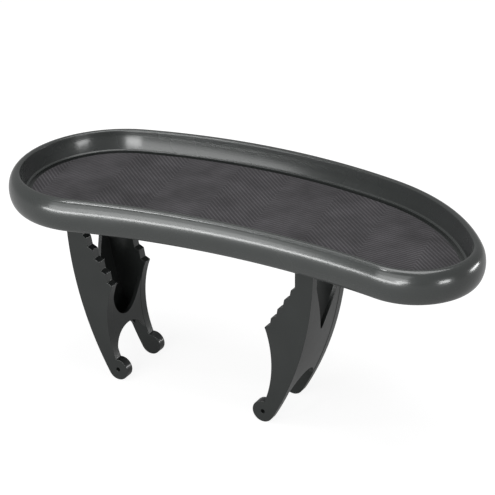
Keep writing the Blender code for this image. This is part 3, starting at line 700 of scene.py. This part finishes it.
class TUBTRAY_OT_legs(bpy.types.Operator):
    """Both stepped legs, the right one mirrored from the left"""

    bl_idname = "tubtray.legs"
    bl_label = "Legs"

    def execute(self, context):
        leg = settings().leg
        pin = settings().hinge
        hinge = hinge_place(-1)
        half = fork_half()
        outer_band, inner_band = web_bands(leg)
        arch = arch_outline(leg, half)
        left = cut_web("leg", outer_band, (v_outline(leg, half), arch), leg, hinge)
        combine(left, cut_web("inner_web", inner_band, (u_outline(leg, half), arch), leg, hinge), "UNION")
        for start in (-leg.width / 2, half):
            outline = seen_from_side(leg_profile(leg), hinge, start)
            combine(left, extruded("plate", outline, (0.0, leg.plate, 0.0), leg.edge), "UNION")
        combine(left, self.spring_peg(leg, pin, hinge, half), "UNION")
        combine(left, self.pin_bore(leg, pin, hinge, half), "DIFFERENCE")
        for end in (-1, 1):
            combine(left, self.knob_hole(leg, hinge, end), "DIFFERENCE")
        # the legs' paint is darker than the tray's: painted shade
        plastic = gunmetal_moulding("moulded_gunmetal_ABS_legs_painted_shade", settings().finish.leg, 0.04)
        dress_pair(left, "leg", plastic, "{}_leg")
        return {"FINISHED"}

    def spring_peg(self, leg, pin, hinge, half):
        """The peg on the rear plate that the spring's lower tail presses on, a little longer than it needs."""
        spare = 1.0 * MM
        soft = 0.5 * MM
        inward = -(pin.coil - pin.wire - settings().tray.rest_gap - pin.peg)
        root = half + leg.web_root
        tip = spring_end() - pin.wire - spare
        centre = hinge + Vector((inward, 0.0, -pin.peg_down))
        return turned("peg", [(0.0, root), (pin.peg, root), (pin.peg, tip + soft), (pin.peg - soft, tip),
                              (0.0, tip)], ALONG_PIN, centre, 24)

    def pin_bore(self, leg, pin, hinge, half):
        """The pin's hole, through the rear plate and blind in the front one."""
        gap = settings().tray.rest_gap
        bottom = -(half + pin.pin_blind + gap)
        radius = pin.pin + gap
        return turned("bore", [(0.0, leg.width), (radius, leg.width), (radius, bottom), (0.0, bottom)],
                      ALONG_PIN, hinge)

    def knob_hole(self, leg, hinge, end):
        """The blind hole in the outer face of a plate's foot, with a chamfered mouth."""
        face = end * leg.width / 2
        lip = 0.4 * MM
        centre = hinge + Vector((leg.knob_in, 0.0, -leg.knob_down))
        profile = [(0.0, face + end * lip), (leg.knob_hole + 2 * lip, face + end * lip),
                   (leg.knob_hole, face - end * lip), (leg.knob_hole, face - end * leg.knob_hole_depth),
                   (0.0, face - end * leg.knob_hole_depth)]
        return turned("hole", profile, ALONG_PIN, centre, 32)


# Hinges

def fork_half():
    """Half the space between a leg's two plates."""
    leg = settings().leg
    return leg.width / 2 - leg.plate


def lug_inner():
    pin = settings().hinge
    return fork_half() - pin.side_play - pin.lug


def ring_place():
    """Middle of the retaining ring along the pin, beside the rear lug."""
    return lug_inner() - settings().tray.rest_gap - settings().hinge.ring / 2


def spring_end():
    """The coil's rear end along the pin."""
    return ring_place() - settings().hinge.ring / 2 - settings().hinge.ring_gap


def screw_places(side):
    """Where the screws of a bracket stand, in (x, y)."""
    pin = settings().hinge
    hinge = hinge_place(side)
    return [(hinge.x + sx * pin.screw_x / 2, hinge.y + sy * pin.screw_y / 2)
            for sx in (-1, 1) for sy in (-1, 1)]


def screw_hole(x, y):
    """The countersunk hole through the deck as a solid to cut away."""
    pin = settings().hinge
    tray = settings().tray
    gap = tray.rest_gap
    above, below = 0.1 * MM, -2 * tray.wall
    level = TRAY_ORIGIN.z + recess_level(tray)
    profile = [(0.0, above), (pin.screw_head + gap, above), (pin.screw + gap, -pin.screw_head_height),
               (pin.screw + gap, below), (0.0, below)]
    return turned("screw_hole", profile, UPWARDS, Vector((x, y, level)), 32)


class TUBTRAY_OT_brackets(bpy.types.Operator):
    """Hinge brackets under the deck"""

    bl_idname = "tubtray.brackets"
    bl_label = "Brackets"

    def execute(self, context):
        soften_pair("bracket", 0.5 * MM, glass_filled_nylon())
        return {"FINISHED"}


class TUBTRAY_OT_pads(bpy.types.Operator):
    """Rubber pads that sit on the top of the tub wall"""

    bl_idname = "tubtray.pads"
    bl_label = "Seat pads"

    def execute(self, context):
        soften_pair("seat_pad", 1.0 * MM, grooved_rubber(), 3)
        return {"FINISHED"}


class TUBTRAY_OT_pins(bpy.types.Operator):
    """Hinge pins with their rings and spring spools"""

    bl_idname = "tubtray.pins"
    bl_label = "Pins, rings and spools"

    def execute(self, context):
        steel = zinc_plated_steel()
        hinge = hinge_place(-1)
        pin = turned("pin", self.pin_profile(), ALONG_PIN, hinge)
        spool = turned("spool", self.spool_profile(), ALONG_PIN, hinge)
        dress_pair(pin, "hinge_pin", steel)
        dress_pair(spool, "spring_spool", natural_nylon())
        soften_pair("pin_clip", 0.15 * MM, steel)
        return {"FINISHED"}

    def pin_profile(self):
        """From the domed head along the shank with the ring's groove to the chamfered end."""
        pin = settings().hinge
        head = settings().leg.width / 2 + settings().tray.rest_gap
        top = head + pin.pin_head_height
        end = -(fork_half() + pin.pin_blind)
        soft = 0.6 * MM
        chamfer = 0.8 * MM
        play = 0.2 * MM
        neck = pin.pin - pin.groove
        low = ring_place() - pin.ring / 2 - play
        high = ring_place() + pin.ring / 2 + play
        return [(0.0, top), (pin.pin_head * 0.6, top), (pin.pin_head * 0.85, top - 0.5 * soft),
                (pin.pin_head, top - 1.6 * soft), (pin.pin_head, head), (pin.pin, head), (pin.pin, high),
                (neck, high), (neck, low), (pin.pin, low), (pin.pin, end + chamfer), (pin.pin - chamfer, end),
                (0.0, end)]

    def spool_profile(self):
        """The sleeve between the pin and the coil, from the ring to the front lug."""
        pin = settings().hinge
        gap = settings().tray.rest_gap
        play = 0.4 * MM
        soft = 0.5 * MM
        outside = pin.coil - pin.wire - play
        inside = pin.pin + gap
        upper = ring_place() - pin.ring / 2 - gap
        lower = -lug_inner() + gap
        return [(inside, upper), (outside - soft, upper), (outside, upper - soft), (outside, lower + soft),
                (outside - soft, lower), (inside, lower), (inside, upper)]


class TUBTRAY_OT_springs(bpy.types.Operator):
    """Torsion springs, each one unbroken wire with a straight tail at each end"""

    bl_idname = "tubtray.springs"
    bl_label = "Springs"

    def execute(self, context):
        pin = settings().hinge
        steel = zinc_plated_steel()
        hinge = hinge_place(-1)
        height = pin.turns * pin.pitch
        start = spring_end() - height
        steps = round(pin.turns * 36)
        bpy.ops.object.select_all(action="DESELECT")
        bpy.ops.mesh.primitive_circle_add(vertices=16, radius=pin.wire, rotation=(0.0, math.pi / 2, 0.0),
                                          location=hinge + Vector((0.0, start, pin.coil)))
        left = bpy.context.object
        bpy.context.scene.cursor.location = hinge
        bpy.ops.object.origin_set(type="ORIGIN_CURSOR")
        bpy.ops.object.transform_apply(location=False)
        apply_modifier(left, "SCREW", axis="Y", angle=-pin.turns * 2 * math.pi, screw_offset=height,
                       steps=steps, render_steps=steps, use_merge_vertices=False)
        bpy.ops.object.transform_apply()
        bpy.ops.object.mode_set(mode="EDIT")
        self.draw_tail(hinge.y + start, Vector((pin.tail_up, 0.0, 0.0)))
        self.draw_tail(hinge.y + spring_end(), Vector((0.0, 0.0, -pin.tail_down)))
        face_out()
        bpy.ops.object.mode_set(mode="OBJECT")
        for piece, (side, word) in zip((left, mirrored(left)), SIDES):
            smooth(piece, 50.0, weighted=False)
            piece.name = "dressed_" + word + "_spring"
            piece.data.materials.clear()
            piece.data.materials.append(steel)
            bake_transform(piece)
            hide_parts(word + "_spring")
        return {"FINISHED"}

    def draw_tail(self, y, path):
        """The straight tail from the open end of the wire at that y, with a rounded tip."""
        wire = settings().hinge.wire
        pick("EDGE", lambda edge: edge.is_boundary and abs(edge.verts[0].co.y - y) < 2 * wire)
        tip = path.normalized() * (wire * 0.35)
        bpy.ops.mesh.extrude_region_move(TRANSFORM_OT_translate={"value": path - tip})
        bpy.ops.mesh.extrude_region_move(TRANSFORM_OT_translate={"value": tip})
        bpy.ops.transform.resize(value=(0.65, 0.65, 0.65))
        bpy.ops.mesh.edge_face_add()


class TUBTRAY_OT_screws(bpy.types.Operator):
    """Countersunk screws that hold the brackets, with a hexagon socket"""

    bl_idname = "tubtray.screws"
    bl_label = "Bracket screws"

    def execute(self, context):
        steel = zinc_plated_steel()
        sunk = 0.2 * MM
        socket = 1.4 * MM
        x, y = screw_places(-1)[0]
        place = Vector((x, y, TRAY_ORIGIN.z + recess_level(settings().tray) - sunk))
        first = turned("screw", self.profile(), UPWARDS, place, 32)
        hexagon = [place + Vector((*polar((0.0, 0.0), socket, math.pi / 3 * i), sunk)) for i in range(6)]
        combine(first, extruded("socket", hexagon, (0.0, 0.0, -socket)), "DIFFERENCE")
        smooth(first)
        screws = []
        for side, word in SIDES:
            for number, (x, y) in enumerate(screw_places(side), 1):
                screw = first
                if screws:
                    screw = own_copy(first)
                    bpy.ops.transform.translate(value=(x - place.x, y - place.y, 0.0))
                    bpy.ops.object.transform_apply()
                screws.append((screw, f"{word}_bracket_screw_{number}"))
        for screw, node in screws:
            dress(screw, node, steel)
        return {"FINISHED"}

    def profile(self):
        """From the head's face down the threaded shank to the point."""
        pin = settings().hinge
        lip, point, point_radius = 0.2 * MM, 1.4 * MM, 0.4 * MM
        pitch, thread = 0.7 * MM, 0.3 * MM
        points = [(0.0, 0.0), (pin.screw_head - lip, 0.0), (pin.screw_head, -lip),
                  (pin.screw, -pin.screw_head_height)]
        depth = -pin.screw_head_height - pitch
        while depth > -pin.screw_length + 2 * pitch:
            points += [(pin.screw, depth), (pin.screw - thread, depth - pitch / 2)]
            depth -= pitch
        return points + [(pin.screw, -pin.screw_length + point), (point_radius, -pin.screw_length),
                         (0.0, -pin.screw_length)]


# Finishes

def add_node(tree, kind, inputs=None, **values):
    """Adds a node, sets its properties, and sets or links its inputs by name or number."""
    node = tree.nodes.new(kind)
    for key, value in values.items():
        setattr(node, key, value)
    for key, value in (inputs or {}).items():
        if isinstance(value, bpy.types.NodeSocket):
            tree.links.new(value, node.inputs[key])
        else:
            node.inputs[key].default_value = value
    return node


# Sockets that go by number, because their names repeat: of a colour Mix, and of a Map Range
FACTOR, DARK, LIGHT, MIXED = 0, 6, 7, 2
VALUE, FROM_LOW, FROM_HIGH, TO_LOW, TO_HIGH = range(5)
# A noise keeps mostly between these values
NOISE_SPAN = {FROM_LOW: 0.3, FROM_HIGH: 0.7}


def shade(paint, share):
    """The colour made darker by a share below 1, or lighter by one above."""
    return tuple(min(1.0, c * share) for c in paint[:3]) + (1.0,)


def start_material(name, **surface):
    """A material with one Principled shader whose plain sockets are set. Returns it, its tree and shader."""
    material = bpy.data.materials.new(name)
    material.use_nodes = True
    tree = material.node_tree
    shader = tree.nodes["Principled BSDF"]
    for key, value in surface.items():
        shader.inputs[key.replace("_", " ")].default_value = value
    return material, tree, shader


def gunmetal_moulding(name, paint, satin):
    """Injection-moulded ABS with a metal flake in it: a soft sheen, sharper streaks where a lamp mirrors,
    a faint orange peel, and a flake that only a close look finds. Satin dulls the sheen."""
    material, tree, shader = start_material(name, Metallic=0.25, IOR=1.5, Coat_Weight=1.0 - 12.0 * satin,
                                            Coat_Roughness=0.15 + satin, Coat_IOR=1.5)
    place = add_node(tree, "ShaderNodeTexCoord").outputs["Object"]
    # flake of 0.5 mm, drawn coarser than the real 0.1 mm so that it shows
    flake = add_node(tree, "ShaderNodeTexVoronoi", {"Vector": place, "Scale": 1 / (0.5 * MM)})
    cloud = add_node(tree, "ShaderNodeTexNoise", {"Vector": place, "Scale": 1 / (45 * MM), "Detail": 2.0})
    blend = add_node(tree, "ShaderNodeMath", {0: flake.outputs["Color"], 1: cloud.outputs["Fac"]},
                     operation="MULTIPLY")
    tint = add_node(tree, "ShaderNodeMix", {FACTOR: blend.outputs[0], DARK: shade(paint, 0.88),
                                            LIGHT: shade(paint, 1.16)}, data_type="RGBA")
    tree.links.new(tint.outputs[MIXED], shader.inputs["Base Color"])
    haze = add_node(tree, "ShaderNodeMapRange", {VALUE: cloud.outputs["Fac"], **NOISE_SPAN,
                                                 TO_LOW: 0.24 + satin, TO_HIGH: 0.30 + satin})
    tree.links.new(haze.outputs[0], shader.inputs["Roughness"])
    # orange peel: 2.5 mm waves, a few hundredths of a millimetre high
    peel = add_node(tree, "ShaderNodeTexNoise", {"Vector": place, "Scale": 1 / (2.5 * MM), "Detail": 1.0})
    bump = add_node(tree, "ShaderNodeBump", {"Height": peel.outputs["Fac"], "Strength": 0.1,
                                             "Distance": 0.03 * MM})
    tree.links.new(bump.outputs[0], shader.inputs["Normal"])
    return material


def ribbed_rubber():
    """Moulded thermoplastic rubber: matt, with fine ribs that lean one way and then the other in bands."""
    tray = settings().tray
    paint = settings().finish.mat
    material, tree, shader = start_material("moulded_TPE_rubber", Roughness=0.72, IOR=1.48)
    coords = add_node(tree, "ShaderNodeTexCoord").outputs["Object"]
    # the bands' turn on the deck, their ribs' lean, and how far the first band lies off the middle
    turn, lean, shift = math.radians(-11.0), math.radians(50.0), 52 * MM
    place = add_node(tree, "ShaderNodeMapping", {"Vector": coords, "Location": (shift, 0.0, 0.0),
                                                 "Rotation": (0.0, 0.0, turn)})
    split = add_node(tree, "ShaderNodeSeparateXYZ", {0: place.outputs[0]})
    zigzag = add_node(tree, "ShaderNodeMath", {0: split.outputs[0], 1: tray.rib_band}, operation="PINGPONG")
    slope = add_node(tree, "ShaderNodeMath", {0: zigzag.outputs[0], 1: math.tan(lean), 2: split.outputs[1]},
                     operation="MULTIPLY_ADD")
    phase = add_node(tree, "ShaderNodeMath", {0: slope.outputs[0],
                                              1: 2 * math.pi * math.cos(lean) / tray.rib_pitch},
                     operation="MULTIPLY")
    wave = add_node(tree, "ShaderNodeMath", {0: phase.outputs[0]}, operation="SINE")
    rib = add_node(tree, "ShaderNodeMapRange", {VALUE: wave.outputs[0], FROM_LOW: -0.7, FROM_HIGH: 0.8,
                                                TO_LOW: 0.0, TO_HIGH: 1.0}, interpolation_type="SMOOTHSTEP")
    # grain of 1.2 mm and worn patches of 38 mm break up the ribs' painted shade in the grooves and painted
    # light on the crests
    speck = add_node(tree, "ShaderNodeTexNoise", {"Vector": coords, "Scale": 1 / (1.2 * MM), "Detail": 3.0})
    cloud = add_node(tree, "ShaderNodeTexNoise", {"Vector": coords, "Scale": 1 / (38 * MM), "Detail": 3.0})
    rib_shade_and_grain = add_node(tree, "ShaderNodeMath", {0: rib.outputs[0], 1: 0.7, 2: speck.outputs["Fac"]},
                      operation="MULTIPLY_ADD")
    rib_shade_and_wear = add_node(tree, "ShaderNodeMath", {0: rib_shade_and_grain.outputs[0], 1: cloud.outputs["Fac"]},
                    operation="MULTIPLY")
    # painted shade and light: the colour runs dark in the ribs' grooves and light on their crests, mixed with
    # grain and worn patches
    tint = add_node(tree, "ShaderNodeMix", {FACTOR: rib_shade_and_wear.outputs[0], DARK: shade(paint, 0.25),
                                            LIGHT: shade(paint, 1.75)}, data_type="RGBA")
    tree.links.new(tint.outputs[MIXED], shader.inputs["Base Color"])
    ribs = add_node(tree, "ShaderNodeBump", {"Height": rib.outputs[0], "Strength": 1.0, "Distance": 0.6 * MM})
    grain = add_node(tree, "ShaderNodeBump", {"Height": speck.outputs["Fac"], "Strength": 0.3,
                                              "Distance": 0.1 * MM, "Normal": ribs.outputs[0]})
    tree.links.new(grain.outputs[0], shader.inputs["Normal"])
    return material


def grooved_rubber():
    """Moulded nitrile rubber: nearly black and dull, with cross grooves every 6 mm that grip the wall."""
    paint = settings().finish.pad
    material, tree, shader = start_material("moulded_nitrile_rubber", Roughness=0.85, IOR=1.52)
    coords = add_node(tree, "ShaderNodeTexCoord").outputs["Object"]
    split = add_node(tree, "ShaderNodeSeparateXYZ", {0: coords})
    phase = add_node(tree, "ShaderNodeMath", {0: split.outputs[1], 1: 2 * math.pi / (6 * MM)},
                     operation="MULTIPLY")
    wave = add_node(tree, "ShaderNodeMath", {0: phase.outputs[0]}, operation="SINE")
    groove = add_node(tree, "ShaderNodeMapRange", {VALUE: wave.outputs[0], FROM_LOW: 0.6, FROM_HIGH: 0.9,
                                                   TO_LOW: 1.0, TO_HIGH: 0.0})
    dust = add_node(tree, "ShaderNodeTexNoise", {"Vector": coords, "Scale": 1 / (3 * MM), "Detail": 4.0})
    tint = add_node(tree, "ShaderNodeMix", {FACTOR: dust.outputs["Fac"], DARK: tuple(paint),
                                            LIGHT: shade(paint, 1.6)}, data_type="RGBA")
    tree.links.new(tint.outputs[MIXED], shader.inputs["Base Color"])
    bump = add_node(tree, "ShaderNodeBump", {"Height": groove.outputs[0], "Strength": 0.9,
                                             "Distance": 0.6 * MM})
    tree.links.new(bump.outputs[0], shader.inputs["Normal"])
    return material


def glass_filled_nylon():
    """Glass-filled nylon: black with a grey bloom and short streaks where the fibres reach the surface."""
    paint = settings().finish.bracket
    material, tree, shader = start_material("glass_filled_nylon", IOR=1.53)
    coords = add_node(tree, "ShaderNodeTexCoord").outputs["Object"]
    flow = add_node(tree, "ShaderNodeMapping", {"Vector": coords, "Scale": (1.0, 0.25, 1.0)})
    # fibres of 0.8 mm, drawn coarser than the real 0.3 mm so that they show
    fibre = add_node(tree, "ShaderNodeTexNoise", {"Vector": flow.outputs[0], "Scale": 1 / (0.8 * MM),
                                                  "Detail": 3.0})
    tint = add_node(tree, "ShaderNodeMix", {FACTOR: fibre.outputs["Fac"], DARK: tuple(paint),
                                            LIGHT: shade(paint, 1.7)}, data_type="RGBA")
    tree.links.new(tint.outputs[MIXED], shader.inputs["Base Color"])
    dull = add_node(tree, "ShaderNodeMapRange", {VALUE: fibre.outputs["Fac"], **NOISE_SPAN,
                                                 TO_LOW: 0.42, TO_HIGH: 0.58})
    tree.links.new(dull.outputs[0], shader.inputs["Roughness"])
    bump = add_node(tree, "ShaderNodeBump", {"Height": fibre.outputs["Fac"], "Strength": 0.3,
                                             "Distance": 0.05 * MM})
    tree.links.new(bump.outputs[0], shader.inputs["Normal"])
    return material


def zinc_plated_steel():
    """Turned or drawn steel with a zinc plate: bright, with a fine cloudy bloom. It is made once and shared."""
    made = bpy.data.materials.get("zinc_plated_steel")
    if made:
        return made
    paint = settings().finish.steel
    material, tree, shader = start_material("zinc_plated_steel", Metallic=1.0)
    coords = add_node(tree, "ShaderNodeTexCoord").outputs["Object"]
    bloom = add_node(tree, "ShaderNodeTexNoise", {"Vector": coords, "Scale": 1 / (1.5 * MM), "Detail": 4.0})
    tint = add_node(tree, "ShaderNodeMix", {FACTOR: bloom.outputs["Fac"], DARK: shade(paint, 0.8),
                                            LIGHT: tuple(paint)}, data_type="RGBA")
    tree.links.new(tint.outputs[MIXED], shader.inputs["Base Color"])
    dull = add_node(tree, "ShaderNodeMapRange", {VALUE: bloom.outputs["Fac"], **NOISE_SPAN,
                                                 TO_LOW: 0.22, TO_HIGH: 0.36})
    tree.links.new(dull.outputs[0], shader.inputs["Roughness"])
    return material


def natural_nylon():
    """Unfilled nylon: milky, slightly see-through at its edges, with a soft shine."""
    paint = settings().finish.spool
    material, tree, shader = start_material("natural_nylon", IOR=1.53, Subsurface_Weight=0.3,
                                            Subsurface_Scale=2 * MM)
    coords = add_node(tree, "ShaderNodeTexCoord").outputs["Object"]
    haze = add_node(tree, "ShaderNodeTexNoise", {"Vector": coords, "Scale": 1 / (2 * MM), "Detail": 3.0})
    tint = add_node(tree, "ShaderNodeMix", {FACTOR: haze.outputs["Fac"], DARK: shade(paint, 0.88),
                                            LIGHT: tuple(paint)}, data_type="RGBA")
    tree.links.new(tint.outputs[MIXED], shader.inputs["Base Color"])
    dull = add_node(tree, "ShaderNodeMapRange", {VALUE: haze.outputs["Fac"], **NOISE_SPAN,
                                                 TO_LOW: 0.36, TO_HIGH: 0.48})
    tree.links.new(dull.outputs[0], shader.inputs["Roughness"])
    return material


# Studio

def soft_lamp(name, place, size, level):
    """An area lamp of a size (x, y) whose surface has that brightness, where 1 is as bright as white paper."""
    bpy.ops.object.select_all(action="DESELECT")
    bpy.ops.object.light_add(type="AREA", location=place)
    lamp = bpy.context.object
    lamp.name = name
    lamp.data.shape = "RECTANGLE"
    lamp.data.size, lamp.data.size_y = size
    lamp.data.energy = level * math.pi * size[0] * size[1]
    lamp.rotation_euler = (Vector(LAMP_TARGET) - Vector(place)).to_track_quat("-Z", "Y").to_euler()


def paper_floor():
    """White paper: lit by the lamps so that it keeps the object's shadow, and lifted to white for the
    camera and for what passes through glass, and a little for what mirrors it."""
    material, tree, shader = start_material("white_paper", Base_Color=tuple(settings().finish.floor),
                                            Roughness=1.0, Specular_IOR_Level=0.0)
    path = add_node(tree, "ShaderNodeLightPath")
    mirrored_share = add_node(tree, "ShaderNodeMath", {0: path.outputs["Is Glossy Ray"], 1: 0.2},
                              operation="MULTIPLY")
    seen = add_node(tree, "ShaderNodeMath", {0: path.outputs["Is Camera Ray"], 1: mirrored_share.outputs[0]},
                    operation="MAXIMUM")
    lift = add_node(tree, "ShaderNodeMath", {0: seen.outputs[0], 1: path.outputs["Is Transmission Ray"]},
                    operation="MAXIMUM")
    shader.inputs["Emission Color"].default_value = (1.0, 1.0, 1.0, 1.0)
    share = add_node(tree, "ShaderNodeMath", {0: lift.outputs[0], 1: 0.88}, operation="MULTIPLY")
    tree.links.new(share.outputs[0], shader.inputs["Emission Strength"])
    return material


def studio_world(level):
    """Even light from all round, and white behind the object for the camera."""
    world = bpy.data.worlds.new("studio")
    bpy.context.scene.world = world
    world.use_nodes = True
    tree = world.node_tree
    background = tree.nodes["Background"]
    path = add_node(tree, "ShaderNodeLightPath")
    strength = add_node(tree, "ShaderNodeMapRange", {VALUE: path.outputs["Is Camera Ray"], TO_LOW: level,
                                                     TO_HIGH: 1.0})
    background.inputs["Color"].default_value = (1.0, 1.0, 1.0, 1.0)
    tree.links.new(strength.outputs[0], background.inputs["Strength"])


def camera_turn():
    """The camera's rotation from its yaw off +Y, its pitch below the horizon and its roll."""
    forward = Vector((-math.sin(CAMERA_YAW) * math.cos(CAMERA_PITCH),
                      math.cos(CAMERA_YAW) * math.cos(CAMERA_PITCH), -math.sin(CAMERA_PITCH)))
    level = Vector((math.cos(CAMERA_YAW), math.sin(CAMERA_YAW), 0.0))
    upright = level.cross(forward)
    right = level * math.cos(CAMERA_ROLL) + upright * math.sin(CAMERA_ROLL)
    up = upright * math.cos(CAMERA_ROLL) - level * math.sin(CAMERA_ROLL)
    return Matrix((right, up, -forward)).transposed()


class TUBTRAY_OT_stage(bpy.types.Operator):
    """Paper floor, soft lamps and the camera"""

    bl_idname = "tubtray.stage"
    bl_label = "Studio"

    def execute(self, context):
        stage = settings().stage
        bpy.ops.object.select_all(action="DESELECT")
        bpy.ops.mesh.primitive_circle_add(vertices=64, radius=FLOOR_RADIUS, fill_type="NGON",
                                          location=(0.0, 0.0, 0.0))
        floor = context.object
        floor.name = "paper_floor"
        floor.data.materials.append(paper_floor())
        studio_world(stage.fill)
        for name, place, size, level, lamp_dial in LAMPS:
            soft_lamp(name, place, size, level * getattr(stage, lamp_dial))
        bpy.ops.object.camera_add(location=CAMERA_PLACE)
        camera = context.object
        camera.data.lens = stage.lens
        camera.data.sensor_width = 36.0
        camera.data.clip_end = 5 * FLOOR_RADIUS
        camera.rotation_euler = camera_turn().to_euler()
        context.scene.camera = camera
        context.scene.view_settings.view_transform = "Standard"
        return {"FINISHED"}


class TubTray(bpy.types.PropertyGroup):
    """All the sizes and colours."""

    tray: PointerProperty(type=TubTraySizes, name="Tray")
    leg: PointerProperty(type=TubTrayLegSizes, name="Leg")
    hinge: PointerProperty(type=TubTrayHingeSizes, name="Hinge")
    finish: PointerProperty(type=TubTrayFinishes, name="Colours")
    stage: PointerProperty(type=TubTrayStage, name="Studio")


PIECES = (TUBTRAY_OT_shell, TUBTRAY_OT_mat, TUBTRAY_OT_legs, TUBTRAY_OT_brackets, TUBTRAY_OT_pads,
          TUBTRAY_OT_pins, TUBTRAY_OT_springs, TUBTRAY_OT_screws, TUBTRAY_OT_stage)


class TUBTRAY_PT_panel(bpy.types.Panel):
    """Sizes, colours and the pieces to add"""

    bl_idname = "TUBTRAY_PT_panel"
    bl_label = "Hot tub tray"
    bl_space_type = "VIEW_3D"
    bl_region_type = "UI"
    bl_category = "Tub tray"

    def draw(self, context):
        for operator in PIECES:
            self.layout.operator(operator.bl_idname)
        groups = context.scene.hot_tub_tray
        for name in ("tray", "leg", "hinge", "finish", "stage"):
            group = getattr(groups, name)
            box = self.layout.box()
            for key in group.__annotations__:
                box.prop(group, key)


CLASSES = (TubTraySizes, TubTrayLegSizes, TubTrayHingeSizes, TubTrayFinishes, TubTrayStage, TubTray,
           *PIECES, TUBTRAY_PT_panel)


def register():
    for made in CLASSES:
        bpy.utils.register_class(made)
    bpy.types.Scene.hot_tub_tray = PointerProperty(type=TubTray)


def unregister():
    del bpy.types.Scene.hot_tub_tray
    for made in reversed(CLASSES):
        bpy.utils.unregister_class(made)


def main():
    register()
    for operator in PIECES:
        getattr(bpy.ops.tubtray, operator.bl_idname.split(".")[1])()


if __name__ == "__main__":
    main()
